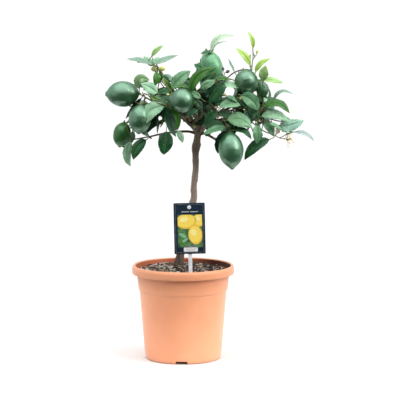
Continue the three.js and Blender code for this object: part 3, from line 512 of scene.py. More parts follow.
FRUIT = {"green": fruit_paint("lemon_dark_green", (8, 48, 16), (14, 64, 24), (26, 84, 36)),
         "mid": fruit_paint("lemon_green", (16, 64, 30), (28, 82, 42), (46, 104, 60)),
         "fresh": fruit_paint("lemon_fresh_green", (22, 66, 18), (40, 96, 30), (66, 122, 52), 1.6, .85),
         "light": fruit_paint("lemon_light_green", (66, 124, 82), (90, 150, 104), (116, 174, 128), 1.8, .8),
         "small": fruit_paint("lemon_young_green", (26, 66, 34), (44, 88, 50), (62, 110, 66), 1.9, .95)}


def petal_paint(name, a, b, rough=.5):
    p = Paint(name, rough)
    p.b.inputs["Subsurface Weight"].default_value = 0.0
    n = p.noise(260, 3)
    p.colour(p.ramp(n, [(0.3, lin(*a)), (0.7, lin(*b))]))
    p.roughness(p.scale(n, .3, .7, rough - .05, rough + .08))
    p.bump(n, .3, .0005)
    return p.mat


PETAL = petal_paint("petal", (240, 234, 216), (252, 249, 240))
PETAL_OLD = petal_paint("petal_worn", (226, 212, 180), (244, 234, 210))
STAMEN = petal_paint("stamen", (244, 226, 160), (252, 242, 204))
BUD_GREEN = petal_paint("bud_green", (182, 192, 96), (228, 230, 156))
BUD_PURPLE = petal_paint("bud_purple", (66, 52, 66), (112, 96, 108))
CALYX = petal_paint("calyx", (96, 116, 58), (134, 152, 88), .6)


def print_paint(name, a, b, rough=.34, scale=180):
    p = Paint(name, rough)
    p.b.inputs["Specular IOR Level"].default_value = .25
    n = p.noise(scale, 3)
    p.colour(p.ramp(n, [(0.3, lin(*a)), (0.7, lin(*b))]))
    p.roughness(p.scale(p.noise(90, 4), .3, .7, rough - .06, rough + .08))
    p.bump(p.noise(1600, 2), .1, .00012)
    return p.mat


CARD = print_paint("card_navy", (24, 37, 50), (36, 53, 70))
INK_LINE = print_paint("print_line", (176, 186, 190), (206, 212, 214))
INK_PICTURE = print_paint("print_picture", (36, 74, 58), (96, 130, 108), .34, 90)
INK_LEAF = print_paint("print_leaf", (54, 106, 56), (104, 150, 84))
INK_YELLOW = print_paint("print_yellow", (248, 216, 84), (252, 228, 114), .34, 260)
INK_YELLOW_DEEP = print_paint("print_yellow_deep", (232, 188, 66), (240, 202, 88), .34, 260)
INK_HIGHLIGHT = print_paint("print_highlight", (252, 236, 140), (254, 242, 170), .34, 260)
INK_MINT = print_paint("print_mint", (104, 172, 132), (150, 204, 168))
INK_WHITE = print_paint("print_white", (222, 226, 228), (240, 242, 243))
INK_GREY = print_paint("print_grey", (96, 104, 112), (140, 148, 154))
STICK = print_paint("stick_plastic", (212, 216, 224), (230, 233, 240), .4)


# ------------------------------------------------------------------ mesh gathering
class Heap:
    """Gathers many small meshes, in millimetres, into one object."""

    def __init__(self):
        self.v, self.f, self.m, self.n = [], [], [], 0

    def add(self, verts, faces, mats=0):
        verts = np.asarray(verts, float).reshape(-1, 3)
        faces = [tuple(int(i) + self.n for i in f) for f in faces]
        self.v.append(verts)
        self.f += faces
        self.m += list(mats) if hasattr(mats, "__len__") else [mats] * len(faces)
        self.n += len(verts)

    def make(self, name, mats, smooth=True):
        mesh = bpy.data.meshes.new(name)
        mesh.from_pydata((np.vstack(self.v) * MM).tolist(), [], self.f)
        for m in mats:
            mesh.materials.append(m)
        mesh.polygons.foreach_set("material_index", np.array(self.m, np.int32))
        mesh.polygons.foreach_set("use_smooth", np.full(len(self.f), smooth))
        mesh.update()
        mesh.validate()
        o = bpy.data.objects.new(name, mesh)
        bpy.context.scene.collection.objects.link(o)
        return o


def unit(v):
    v = np.asarray(v, float)
    n = np.linalg.norm(v)
    return v / n if n > 1e-9 else np.array([0.0, 0.0, 1.0])


def across(t, hint):
    """The part of hint that is square to t, as a unit vector."""
    w = hint - np.dot(hint, t) * t
    if np.linalg.norm(w) < 1e-3:
        w = np.cross(t, [0.31, 0.85, 0.42])
    return unit(w)


def smooth_line(points, n):
    """Catmull-Rom through the points, evenly sampled by parameter."""
    p = np.asarray(points, float)
    if len(p) == 2:
        t = np.linspace(0, 1, n)[:, None]
        return p[0] * (1 - t) + p[1] * t
    q = np.vstack([2 * p[0] - p[1], p, 2 * p[-1] - p[-2]])
    seg = np.linalg.norm(np.diff(p, axis=0), axis=1)
    knots = np.concatenate([[0], np.cumsum(seg)])
    out = []
    for s in np.linspace(0, knots[-1], n):
        k = min(len(seg) - 1, int(np.searchsorted(knots, s, side="right")) - 1)
        u = (s - knots[k]) / max(seg[k], 1e-9)
        a, b, c, d = q[k], q[k + 1], q[k + 2], q[k + 3]
        out.append(0.5 * (2 * b + (c - a) * u + (2 * a - 5 * b + 4 * c - d) * u * u + (3 * b - a - 3 * c + d) * u ** 3))
    return np.array(out)


def frames(line):
    """Tangents and a turning-free pair of side vectors along a line."""
    t = np.gradient(line, axis=0)
    t /= np.linalg.norm(t, axis=1)[:, None] + 1e-12
    a = across(t[0], np.array([0.2, 1.0, 0.1]))
    side = []
    for k in range(len(line)):
        a = across(t[k], a)
        side.append(a)
    side = np.array(side)
    return t, side, np.cross(t, side)


def tube(heap, line, radius, sides=8, mat=0, bumpy=None, cap_start=False, cap_end=True):
    """A tapering limb round a line. radius is an array; bumpy(point, k, angle) may move the skin."""
    line = np.asarray(line, float)
    t, a, b = frames(line)
    n = len(line)
    ang = np.arange(sides) * 2 * math.pi / sides
    verts = np.empty((n, sides, 3))
    for i, w in enumerate(ang):
        r = radius if bumpy is None else radius + np.array([bumpy(k, w) for k in range(n)])
        verts[:, i] = line + (math.cos(w) * a + math.sin(w) * b) * np.asarray(r)[:, None]
    v = verts.reshape(-1, 3)
    f = [(k * sides + i, k * sides + (i + 1) % sides, (k + 1) * sides + (i + 1) % sides, (k + 1) * sides + i)
         for k in range(n - 1) for i in range(sides)]
    extra = []
    if cap_end:
        extra.append(line[-1] + t[-1] * radius[-1] * .5)
        e = len(v) + len(extra) - 1
        f += [((n - 1) * sides + i, (n - 1) * sides + (i + 1) % sides, e) for i in range(sides)]
    if cap_start:
        extra.append(line[0])
        e = len(v) + len(extra) - 1
        f += [((i + 1) % sides, i, e) for i in range(sides)]
    if extra:
        v = np.vstack([v, extra])
    heap.add(v, f, mat)


# ------------------------------------------------------------------ leaves
LEAVES = {k: Heap() for k in LEAF_KINDS}
NS = 14
VV = np.array([-1, -.74, -.4, -.045, 0, .045, .4, .74, 1])
NV = len(VV) - 1
ST_S = 1 - (1 - np.linspace(0, 1, NS + 1)) ** 1.08
COVER = np.zeros((400, 400), bool)       # what the front sprays cover, in the front view
NEAREST = np.full((400, 400), 1e9)       # and how far forward they come there
LEAF_TOTAL = [0]

CAM_AT = np.array([33.0, -4000.0, 809.0])
PITCH = math.radians(7.106)
FOCAL = 2074.0


def front_view(p):
    """Where millimetre points fall in the 400 by 400 front view."""
    d = np.asarray(p, float) - CAM_AT
    f = d[..., 1] * math.cos(PITCH) - d[..., 2] * math.sin(PITCH)
    u = d[..., 1] * math.sin(PITCH) + d[..., 2] * math.cos(PITCH)
    return 200 + FOCAL * d[..., 0] / f, 200 - FOCAL * u / f


def leaf_grid(base, tip, width, normal, bow, fold, seed, shape=(.62, .9)):
    """Points of a blade on its NS by NV grid, and the facing at each point."""
    base, tip, bow = (np.asarray(x, float) for x in (base, tip, bow))
    r = random.Random(seed)
    L = np.linalg.norm(tip - base)
    n0 = across(unit(tip - base), unit(normal))
    arch = L * r.uniform(.02, .07)
    ctrl = (base + tip) / 2 + 2 * bow + 2 * arch * n0
    s = ST_S[:, None]
    c = base * (1 - s) ** 2 + 2 * ctrl * s * (1 - s) + tip * s ** 2
    t = 2 * (ctrl - base) * (1 - s) + 2 * (tip - ctrl) * s
    t /= np.linalg.norm(t, axis=1)[:, None]
    twist = r.uniform(-.28, .28)
    a, b = shape
    m = a / (a + b)
    h = width / 2 * (ST_S ** a * (1 - ST_S) ** b) / (m ** a * (1 - m) ** b)
    h = h * (1 + .022 * np.sin(ST_S * 2 * math.pi * 8.5 + r.uniform(0, 6)))
    h = np.maximum(h, .25 + .35 * (1 - ST_S))
    curl = r.uniform(.02, .16)
    wave, k2, ph = r.uniform(.03, .10), r.uniform(1.6, 2.8), r.uniform(0, 6.28)
    grid = np.empty((NS + 1, NV + 1, 3))
    ns = np.empty_like(grid)
    for k in range(NS + 1):
        nn = across(t[k], n0)
        w = twist * (ST_S[k] - .35)
        bb = np.cross(t[k], nn)
        nn, bb = nn * math.cos(w) + bb * math.sin(w), bb * math.cos(w) - nn * math.sin(w)
        lift = fold * math.sin(math.pi * min(1, .2 + ST_S[k] * .95))
        for j, v in enumerate(VV):
            x, av = h[k] * v, abs(v)
            up = h[k] * (av * math.sin(lift) - curl * 2 * av ** 2.2)
            up += h[k] * wave * math.sin(2 * math.pi * k2 * ST_S[k] + ph + (1.4 if v > 0 else 0)) * av ** 1.6
            if j == NV // 2:
                up -= .45 * min(1, h[k] / 5)
            elif .1 < av < .9:
                up += .028 * h[k] * (1 if k % 2 else -1) * math.sin(math.pi * av) * min(1, h[k] / 6)
            grid[k, j] = c[k] + bb * (x * math.cos(lift)) + nn * up + t[k] * (.10 * width * av * math.sin(math.pi * ST_S[k]) * .5)
            ns[k, j] = nn
    return grid, ns


def cell_faces():
    top, mats = [], []
    for k in range(NS):
        for j in range(NV):
            a = k * (NV + 1) + j
            top.append((a, a + 1, a + NV + 2, a + NV + 1))
            mats.append(1 if j in (NV // 2 - 1, NV // 2) else 0)
    return top, mats


TOP_FACES, TOP_MATS = cell_faces()
UNDER_FACES = [tuple(reversed(f)) for f in TOP_FACES]


def mark(u, v, y):
    """Notes that something at depth y covers these places of the front view."""
    i, j = np.clip(v.astype(int), 0, 399).ravel(), np.clip(u.astype(int), 0, 399).ravel()
    COVER[i, j] = True
    np.minimum.at(NEAREST, (i, j), np.broadcast_to(y, u.shape).ravel())


def add_leaf(kind, base, tip, width, normal, bow=(0, 0, 0), fold=.3, seed=0, shape=(.62, .9), cover=False, grid=None):
    if grid is None:
        grid, ns = leaf_grid(base, tip, width, normal, bow, fold, seed, shape)
    else:
        grid, ns = grid
    top = grid.reshape(-1, 3)
    # the quads face along the blade's normal
    e1 = grid[NS // 2, -1] - grid[NS // 2, 0]
    e2 = grid[NS // 2 + 1, NV // 2] - grid[NS // 2, NV // 2]
    flip = np.dot(np.cross(e1, e2), ns[NS // 2, NV // 2]) < 0
    inner = np.ones((NS + 1, NV + 1, 1))
    inner[:, 0] = inner[:, -1] = 0
    inner[0] = inner[-1] = 0
    drop = np.full((NS + 1, NV + 1, 1), .28)
    drop[:, NV // 2] = .75
    low = (grid - ns * drop * inner).reshape(-1, 3)
    h = LEAVES[kind]
    h.add(top, UNDER_FACES if flip else TOP_FACES, TOP_MATS)
    h.add(low, TOP_FACES if flip else UNDER_FACES, [2] * len(TOP_FACES))
    LEAF_TOTAL[0] += 1
    if cover:
        u, v = front_view(grid)
        for fa in np.linspace(0, 1, 4):
            for fb in np.linspace(0, 1, 4):
                gu = (u[:-1, :-1] * (1 - fa) + u[1:, :-1] * fa) * (1 - fb) + (u[:-1, 1:] * (1 - fa) + u[1:, 1:] * fa) * fb
                gv = (v[:-1, :-1] * (1 - fa) + v[1:, :-1] * fa) * (1 - fb) + (v[:-1, 1:] * (1 - fa) + v[1:, 1:] * fa) * fb
                mark(gu, gv, grid[:-1, :-1, 1])


# ------------------------------------------------------------------ the limbs' skeleton
class Skeleton:
    """Points along the living wood. Each new shoot joins it where reach plus way back to the fork is least."""

    def __init__(self):
        self.p, self.way, self.parent, self.load, self.dir = [], [], [], [], []

    def push(self, point, parent, way=None, direction=None):
        self.p.append(np.asarray(point, float))
        self.parent.append(parent)
        self.way.append(way if way is not None else (0 if parent < 0 else self.way[parent] + np.linalg.norm(self.p[-1] - self.p[parent])))
        self.load.append(0)
        self.dir.append(unit(self.p[-1] - self.p[parent]) if parent >= 0 and direction is None else (direction if direction is not None else np.array([0, 0, 1.0])))
        return len(self.p) - 1

    def line(self, pts, parent):
        for q in pts:
            parent = self.push(q, parent)
        return parent

    def join(self, q, pull=.38, limit=None):
        P = np.array(self.p)
        d = np.linalg.norm(P - q, axis=1)
        cost = d + pull * np.array(self.way)
        cost[d < 4] += 40
        return int(np.argmin(cost)), d


SK = Skeleton()
WOOD, GREEN = Heap(), Heap()   # twigs
LIMBS = {}


def mass_line(name):
    target, r0, r1, knees = BOUGHS[name]
    start = (FORK[0], FORK[1], FORK[2] - 8)
    end = MASSES[target][:3]
    return smooth_line([start, *knees, end], 40), r0, r1


root = SK.push((FORK[0], FORK[1], FORK[2] - 8), -1)
MASS_NODE = {}
for name in BOUGHS:
    pts, r0, r1 = mass_line(name)
    r = np.interp(np.linspace(0, 1, len(pts)), [0, .12, .7, 1], [r0 * 1.12, r0, r1, max(.9, r1 * .42)])
    LIMBS[name] = (pts, r)
    MASS_NODE[BOUGHS[name][0]] = SK.line(pts[3::3], root)
for a, b, r in ONWARD:
    p0, p1 = np.array(MASSES[a][:3], float), np.array(MASSES[b][:3], float)
    rr = random.Random(a + b)
    mid = (p0 + p1) / 2 + np.array([rr.uniform(-8, 8), rr.uniform(-8, 8), rr.uniform(-10, 4)])
    before = SK.p[SK.parent[MASS_NODE[a]]]
    pts = smooth_line([p0, p0 + unit(p0 - before) * 8, mid, p1], 22)
    LIMBS["limb_" + b] = (pts, np.linspace(r * .8, r * .42, len(pts)))
    MASS_NODE[b] = SK.line(pts[2::2], MASS_NODE[a])


def twig(start, start_dir, end, end_dir, r0, r1, heap, n=9, sides=7, mat=0, sway=0.0, seed=0, push=0.0):
    """A curved twig that leaves along start_dir and arrives along end_dir."""
    start, end = np.asarray(start, float), np.asarray(end, float)
    L = np.linalg.norm(end - start)
    c1 = start + unit(start_dir) * L * .32 + np.array([0, push, 0])
    c2 = end - unit(end_dir) * L * .32 + np.array([0, push, 0])
    t = np.linspace(0, 1, n)[:, None]
    line = start * (1 - t) ** 3 + 3 * c1 * t * (1 - t) ** 2 + 3 * c2 * t * t * (1 - t) + end * t ** 3
    if sway:
        r = random.Random(seed)
        s = np.array([r.uniform(-1, 1) for _ in range(3)])
        line = line + s * sway * np.sin(np.linspace(0, math.pi * 2, n))[:, None]
        line[0], line[-1] = start, end
    rad = r0 + (r1 - r0) * np.linspace(0, 1, n)
    rad = rad * (1 + .10 * np.sin(np.arange(n) * 2.1 + seed % 7))
    if heap is not None:
        tube(heap, line, rad, sides, mat)
    return line


# ------------------------------------------------------------------ fruit
LEMONS = {k: Heap() for k in FRUIT}
TRIM = Heap()
PROFILE_T = [0, .012, .04, .10, .20, .32, .45, .57, .68, .78, .86, .905, .935, .957, .975, .99, 1.0]
PROFILE_R = [0, .12, .30, .55, .79, .94, 1.0, .985, .91, .76, .56, .40, .275, .205, .165, .10, 0]
BALLS = []


def cubic(x, xs, ys):
    """Monotone cubic through a table."""
    xs, ys = np.asarray(xs, float), np.asarray(ys, float)
    d = np.diff(ys) / np.diff(xs)
    m = np.zeros(len(xs))
    for i in range(1, len(xs) - 1):
        m[i] = 0 if d[i - 1] * d[i] <= 0 else 2 * d[i - 1] * d[i] / (d[i - 1] + d[i])
    m[0], m[-1] = d[0], d[-1]
    k = np.clip(np.searchsorted(xs, x, side="right") - 1, 0, len(xs) - 2)
    h = xs[k + 1] - xs[k]
    u = (x - xs[k]) / h
    return (ys[k] * (2 * u ** 3 - 3 * u ** 2 + 1) + m[k] * h * (u ** 3 - 2 * u ** 2 + u)
            + ys[k + 1] * (-2 * u ** 3 + 3 * u ** 2) + m[k + 1] * h * (u ** 3 - u ** 2))


def lemon(kind, stem, tip, dia, seed, cover=True):
    stem, tip = np.asarray(stem, float), np.asarray(tip, float)
    L = np.linalg.norm(tip - stem)
    t = unit(tip - stem)
    a = across(t, np.array([.3, .2, 1.0]))
    b = np.cross(t, a)
    rings, sides = (54, 56) if FINE else (36, 36)
    x = np.concatenate([np.linspace(0, .1, 9)[:-1], np.linspace(.1, .84, rings - 22), np.linspace(.84, 1, 15)[1:]])
    r = cubic(x, PROFILE_T, PROFILE_R) * dia / 2
    v = []
    for k, (s, rr) in enumerate(zip(x, r)):
        if k in (0, len(x) - 1):
            continue
        for i in range(sides):
            w = 2 * math.pi * i / sides
            d = math.cos(w) * a + math.sin(w) * b
            q = d * rr + t * (s * L)
            nz = noise.noise(Vector(q * .045) + Vector((seed * 3.7, 0, 0)))
            nf = noise.noise(Vector(q * .22) + Vector((0, seed * 1.3, 0)))
            fl = .04 * math.cos(5 * w + seed) * max(0, 1 - s * 5) + .06 * math.cos(4 * w + seed) * max(0, (s - .82) / .18)
            v.append(stem + d * (rr * (1 + .035 * nz + .012 * nf + fl)) + t * (s * L))
    n = len(x) - 2
    v += [stem + t * .6, tip]
    f = [(k * sides + i, (k + 1) * sides + i, (k + 1) * sides + (i + 1) % sides, k * sides + (i + 1) % sides)
         for k in range(n - 1) for i in range(sides)]
    f += [(n * sides, i, (i + 1) % sides) for i in range(sides)]
    f += [(n * sides + 1, (n - 1) * sides + (i + 1) % sides, (n - 1) * sides + i) for i in range(sides)]
    LEMONS[kind].add(v, f, 0)
    # the calyx, a five-pointed disc, and the thickened end of the stalk
    star = []
    m = 40
    for i in range(m):
        w = 2 * math.pi * i / m
        rr = (2.5 + 1.0 * max(0, math.cos(5 * w)) ** 1.5) * dia / 46
        star.append(stem + (math.cos(w) * a + math.sin(w) * b) * rr + t * (.25 + .02 * rr * rr))
    star2 = [p - t * 1.0 + (stem + t * .2 - p) * .35 for p in star]
    vs = star + star2 + [stem + t * .4, stem - t * 1.5]
    fs = [(i, m + i, m + (i + 1) % m, (i + 1) % m) for i in range(m)]
    fs += [(2 * m, i, (i + 1) % m) for i in range(m)] + [(2 * m + 1, m + (i + 1) % m, m + i) for i in range(m)]
    TRIM.add(vs, fs, 0)
    BALLS.append(((stem + tip) / 2, L / 2, dia / 2, t))
    if cover:
        u, vv = front_view(np.array(v))
        cu, cv = front_view((stem + tip) / 2)
        for sh in np.linspace(0, 1, 26):
            mark(cu + (u - cu) * sh, cv + (vv - cv) * sh, min(stem[1], tip[1]) - dia / 2 * math.sqrt(1 - sh * sh * .96))
    return t


# ------------------------------------------------------------------ the front sprays
KINDS_YOUNG = ("young", "young2")
for k, st, tp, dia in FRUITS:
    lemon(k, st, tp, dia, seed=len(BALLS) + 1)

PETIOLES = []   # (foot of blade, way the stalk comes in, kind, seed)
for i, (kind, base, tip, width, normal, bow, fold, lean) in enumerate(SPRAY_LEAVES):
    L = np.linalg.norm(np.array(tip) - np.array(base))
    slim = {0: (.6, .88), -1: (.48, .95), -2: (.36, .85)}[lean]
    if kind in ("young", "young2", "grey") and not lean:
        slim = (.68, 1.0)
    add_leaf(kind, base, tip, width, normal, bow, fold, seed=100 + i, shape=slim, cover=True)
    axis = unit(np.array(tip) - np.array(base) + 3.2 * np.array(bow))
    PETIOLES.append((np.array(base, float), axis, kind, 100 + i))

dense = np.zeros((400, 400), bool)
vv, uu = np.mgrid[0:400, 0:400]
for x, z, rx, rz in DENSE:
    cu, cv = front_view(np.array([x, 0.0, z]))
    s = FOCAL / 4030.0
    dense |= ((uu + .5 - cu) / (rx * s)) ** 2 + ((vv + .5 - cv) / (rz * s)) ** 2 < 1
ALLOWED = COVER | dense


def best_way(q, arrive, pull, spread=7):
    """Where a twig to q should leave the wood, and how far it should pass behind, so that it keeps out of sight."""
    P = np.array(SK.p)
    d = np.linalg.norm(P - q, axis=1)
    cost = d + pull * np.array(SK.way)
    cost[d < 4] += 40
    picked, best = [], None
    for j in np.argsort(cost):
        if any(np.linalg.norm(P[j] - P[k]) < 6 for k in picked):
            continue
        picked.append(int(j))
        if len(picked) >= spread:
            break
    for j in picked:
        away = unit(unit(q - P[j]) + .5 * SK.dir[j])
        n = max(6, int(d[j] / 4))
        for push in (0, 9, 20, 36, 60):
            line = twig(P[j], away, q, arrive, 1, 1, None, n=n, push=push)
            u, v = front_view(line)
            i, k = np.clip(v.astype(int), 0, 399), np.clip(u.astype(int), 0, 399)
            step = d[j] / n
            ahead = (COVER[i, k] & (line[:, 1] < NEAREST[i, k] + 1))[:-2].sum() * step
            open_sky = (~ALLOWED[i, k]).sum() * step
            for c, hl, hr, t in BALLS:
                w = line[:-1] - c
                along = w @ t
                out = np.linalg.norm(w - along[:, None] * t, axis=1)
                ahead += 2 * step * (((along / hl) ** 2 + (out / hr) ** 2) < 1).sum()
            score = cost[j] + push * .35 + ahead * 3.0 + open_sky * 1.4
            if best is None or score < best[0]:
                best = (score, j, away, push, ahead + open_sky, d[j])
    return best


STEM_NODES = {}
for i, (kind, pts, ra, rb) in enumerate(STEMS):
    pts = np.array(pts, float)
    _, j, away, push, _, gap = best_way(pts[0], unit(pts[1] - pts[0]), .25)
    heap = GREEN if kind == "green" else WOOD
    if gap > 6:
        twig(SK.p[j], away, pts[0], unit(pts[1] - pts[0]), ra * 1.3, ra, heap, n=12, seed=i, push=push)
        j = SK.push((SK.p[j] + pts[0]) / 2, j)
    line = smooth_line(pts, 8 + 4 * len(pts))
    rad = np.linspace(ra, rb, len(line)) * (1 + .08 * np.sin(np.arange(len(line)) * 1.7 + i))
    for m in range(5, len(line) - 3, 7):
        rad[m] *= 1.22   # leaf joints
    tube(heap, line, rad, 9, 0)
    SK.line(line[1::2], j)


def grow_to(q, arrive, r_end, heap, seed, pull=.38):
    """Joins point q to the skeleton by one twig and adds its points."""
    _, j, away, push, _, L = best_way(q, arrive, pull)
    if L < 2.5:
        return j
    r0 = r_end + .006 * L + .1
    line = twig(SK.p[j], away, q, arrive, r0, r_end, heap, n=max(6, int(L / 6)), sway=min(1.4, L * .02), seed=seed, push=push)
    node = j
    for p in line[1::2]:
        node = SK.push(p, node)
    return node


# stalks of the front leaves: the nearest wood first, so that neighbours share a twig
order = sorted(range(len(PETIOLES)), key=lambda i: SK.join(PETIOLES[i][0], .1)[1].min())
for i in order:
    base, axis, kind, seed = PETIOLES[i]
    stalk = base - axis * 7.0
    heap = GREEN
    node = grow_to(stalk, axis, .75, GREEN if kind in KINDS_YOUNG or seed % 3 else WOOD, seed, pull=.30)
    twig(stalk, axis, base + axis * .8, axis, .72, .95, GREEN, n=5, sides=7, seed=seed)
for (c, hl, hr, t), (k, st, tp, dia) in zip(BALLS, FRUITS):
    st = np.array(st, float)
    P = np.array(SK.p)
    if np.linalg.norm(P - st, axis=1).min() > 4:
        grow_to(st - t * 3.0, t, 1.3, GREEN, 7, pull=.3)
    twig(st - t * 3.2, t, st + t * .4, t, 1.25, 1.5, GREEN, n=4, seed=3)

# ------------------------------------------------------------------ the crown filled in behind, by a seeded rule
def hidden_ok(grid, share=.97):
    """True if a blade keeps behind the front sprays and shows no outline of its own past them."""
    u, v = front_view(grid)
    i, j = np.clip(v.astype(int), 0, 399), np.clip(u.astype(int), 0, 399)
    in_front = COVER[i, j] & (grid[..., 1] < NEAREST[i, j] + 3)
    return ALLOWED[i, j].mean() >= share and in_front.mean() < .04


def crosses_sky(line):
    """Length of a twig, in mm, that would cross the open gaps kept between the front sprays."""
    fine = np.array([np.interp(np.linspace(0, len(line) - 1, len(line) * 8), np.arange(len(line)), np.asarray(line)[:, c]) for c in range(3)]).T
    u, v = front_view(fine)
    step = np.linalg.norm(np.diff(fine, axis=0), axis=1).mean()
    return (~ALLOWED[np.clip(v.astype(int), 0, 399), np.clip(u.astype(int), 0, 399)]).sum() * step


def seen(grid):
    """Share of a blade that looks through between the front sprays."""
    u, v = front_view(grid)
    return 1 - COVER[np.clip(v.astype(int), 0, 399), np.clip(u.astype(int), 0, 399)].mean()


def clear_of_fruit(grid, gap=1.0):
    for c, hl, hr, t in BALLS:
        d = grid.reshape(-1, 3) - c
        along = d @ t
        rad = np.linalg.norm(d - along[:, None] * t, axis=1)
        if (((along / (hl + gap)) ** 2 + (rad / (hr + gap)) ** 2) < 1).any():
            return False
    return True


DIRECTIONS = []
g = math.pi * (3 - math.sqrt(5))
for i in range(26):
    z = 1 - 2 * (i + .5) / 26
    DIRECTIONS.append((math.cos(g * i) * math.sqrt(1 - z * z), math.sin(g * i) * math.sqrt(1 - z * z), z))

CENTRE = np.array([40.0, 10.0, 480.0])
KEEP_LOW = np.array(CAD_LOW) / MM - np.array([8, 8, -300.0])
KEEP_HIGH = np.array(CAD_HIGH) / MM + np.array([8, 8, 6.0])


def blade(kind, foot, out, length, seed, r):
    """One leaf of the fill: out is the way it points, and it faces the sky."""
    up = unit(np.array([r.uniform(-.35, .35), r.uniform(-.35, .35) - .12, 1.0]))
    droop = np.array([0, 0, -length * r.uniform(.05, .28)])
    tip = foot + out * length + droop
    ax = unit(tip - foot)
    nrm = across(ax, up + .25 * unit(foot - CENTRE))
    w = length * r.uniform(.42, .54)
    return leaf_grid(foot, tip, w, nrm, nrm * length * r.uniform(-.01, .06), r.uniform(.18, .42), seed,
                     (.62, .9)), w


FILL_SHOOTS = []
BETWEEN = {"between_left": (-44, 44, 512, 52, 34, 44), "between_centre": (34, 62, 524, 52, 34, 46),
           "between_right": (104, 44, 508, 52, 34, 46), "back_high": (58, 84, 552, 50, 40, 34)}
for mi, (name, (cx, cy, cz, rx, ry, rz)) in enumerate({**MASSES, **BETWEEN}.items()):
    r = random.Random(900 + mi)
    n = 13 if name.startswith("back") else (11 if name in BETWEEN else 10)
    start = r.randrange(26)
    for k in range(n):
        d = np.array(DIRECTIONS[(start + k * (26 // n)) % 26]) + np.array([r.uniform(-.3, .3) for _ in range(3)])
        d = unit(d)
        q = np.array([cx, cy, cz]) + d * np.array([rx, ry, rz]) * r.uniform(.5, .8)
        FILL_SHOOTS.append((name, q, d, mi * 100 + k))

SHOOT_KINDS = [("dark", 8), ("dark2", 5), ("mid", 5), ("mid2", 2), ("bright", 2), ("olive", 1), ("teal", 1), ("pale", 1)]
made = 0
for name, q, d, seed in sorted(FILL_SHOOTS, key=lambda x: np.linalg.norm(x[1] - np.array(FORK))):
    r = random.Random(5000 + seed)
    # the shoot's colours are dealt out by spray, with painted shade: darker kinds inside the crown
    depth_in = np.linalg.norm((q - CENTRE) / np.array([150, 120, 90]))
    pool = [k for k, w in SHOOT_KINDS for _ in range(w)]
    kind = r.choice(pool if depth_in > .62 else ["dark", "dark2", "dark", "mid"])
    if name == "top_shoot":
        kind = r.choice(["young", "young2", "bright"])
    arrive = unit(d + np.array([0, 0, .25]))
    _, j, away, push, shown, gap = best_way(q, arrive, .4, 5)
    if gap > 95 or shown > 2.5:
        continue
    trial = twig(SK.p[j], away, q, arrive, 1, 1, None, n=12, seed=seed, push=push)
    if crosses_sky(trial) > 1.6:
        continue
    leaves = []
    turn = r.uniform(0, 6.28)
    length = np.linalg.norm(np.diff(trial, axis=0), axis=1).sum()
    count = max(3, min(7, int(length / 9)))
    for m in range(count + 1):
        s = 1.0 if m == count else .35 + .62 * m / count
        p = trial[int(round(s * (len(trial) - 1)))]
        t = unit(trial[min(len(trial) - 1, int(s * 11) + 1)] - trial[max(0, int(s * 11) - 1)])
        a = across(t, np.array([0, 0, 1.0]))
        b = np.cross(t, a)
        turn += 2.4 + r.uniform(-.3, .3)
        side = math.cos(turn) * a + math.sin(turn) * b
        out = unit(t * (.95 if m == count else .5) + side * (.25 if m == count else .85))
        Lf = r.uniform(36, 62) * (.8 if m == count else 1)
        foot = p + out * 7
        kd = kind if r.random() < .7 else r.choice(["dark", "mid", "dark2"])
        ok = False
        for attempt in range(7):
            grid, w = blade(kd, foot, out, Lf, seed * 10 + m + attempt * 977, r)
            if hidden_ok(grid[0]) and clear_of_fruit(grid[0]) and (grid[0] < KEEP_HIGH).all() and (grid[0] > KEEP_LOW).all():
                ok = True
                break
            turn += .9
            side = math.cos(turn) * a + math.sin(turn) * b
            out = unit(t * r.uniform(.2, .9) + side * .85)
            Lf *= .93
            foot = p + out * 7
        if ok:
            # painted shade: a blade that shows through the gaps between the front sprays takes a dark kind
            if seen(grid[0]) > .12 and kd not in ("dark", "dark2"):
                kd = "dark2" if (seed + m) % 2 else "dark"
            leaves.append((kd, p, out, foot, grid))
    if not leaves:
        continue
    ends = trial[::2]
    heap = WOOD if r.random() < .5 else GREEN
    r_end = .8
    real = twig(SK.p[j], away, q, arrive, .9 + .008 * gap, r_end, heap, n=12, sides=7, seed=seed, push=push)
    node = j
    for pp in real[2::2]:
        node = SK.push(pp, node)
    for kd, p, out, foot, grid in leaves:
        twig(p, out, foot + out * .8, out, .8, .9, GREEN, n=4, sides=6, seed=seed)
        add_leaf(kd, None, None, None, None, grid=grid)
        made += 1

# a few lemons on the far side, hanging from the wood there
for i, (x, y, z, dx, dy, dz, L, dia, kind) in enumerate([
        (-78, 128, 494, -.25, .3, -.9, 62, 44, "green"), (42, 158, 500, .1, .25, -.95, 64, 45, "mid"),
        (150, 122, 506, .35, .2, -.9, 58, 42, "green"), (88, 138, 462, .1, .2, -.95, 48, 34, "green")]):
    t = unit(np.array([dx, dy, dz]))
    st = np.array([x, y, z], float)
    lemon(kind, st, st + t * L, dia, seed=30 + i, cover=False)
    grow_to(st - t * 3, t, 1.3, GREEN, 40 + i)
    twig(st - t * 3.2, t, st + t * .4, t, 1.25, 1.5, GREEN, n=4, seed=3)

# ------------------------------------------------------------------ blossom and buds
FLOWERS = Heap()   # materials: petal, worn petal, stamen, bud green, bud purple, calyx


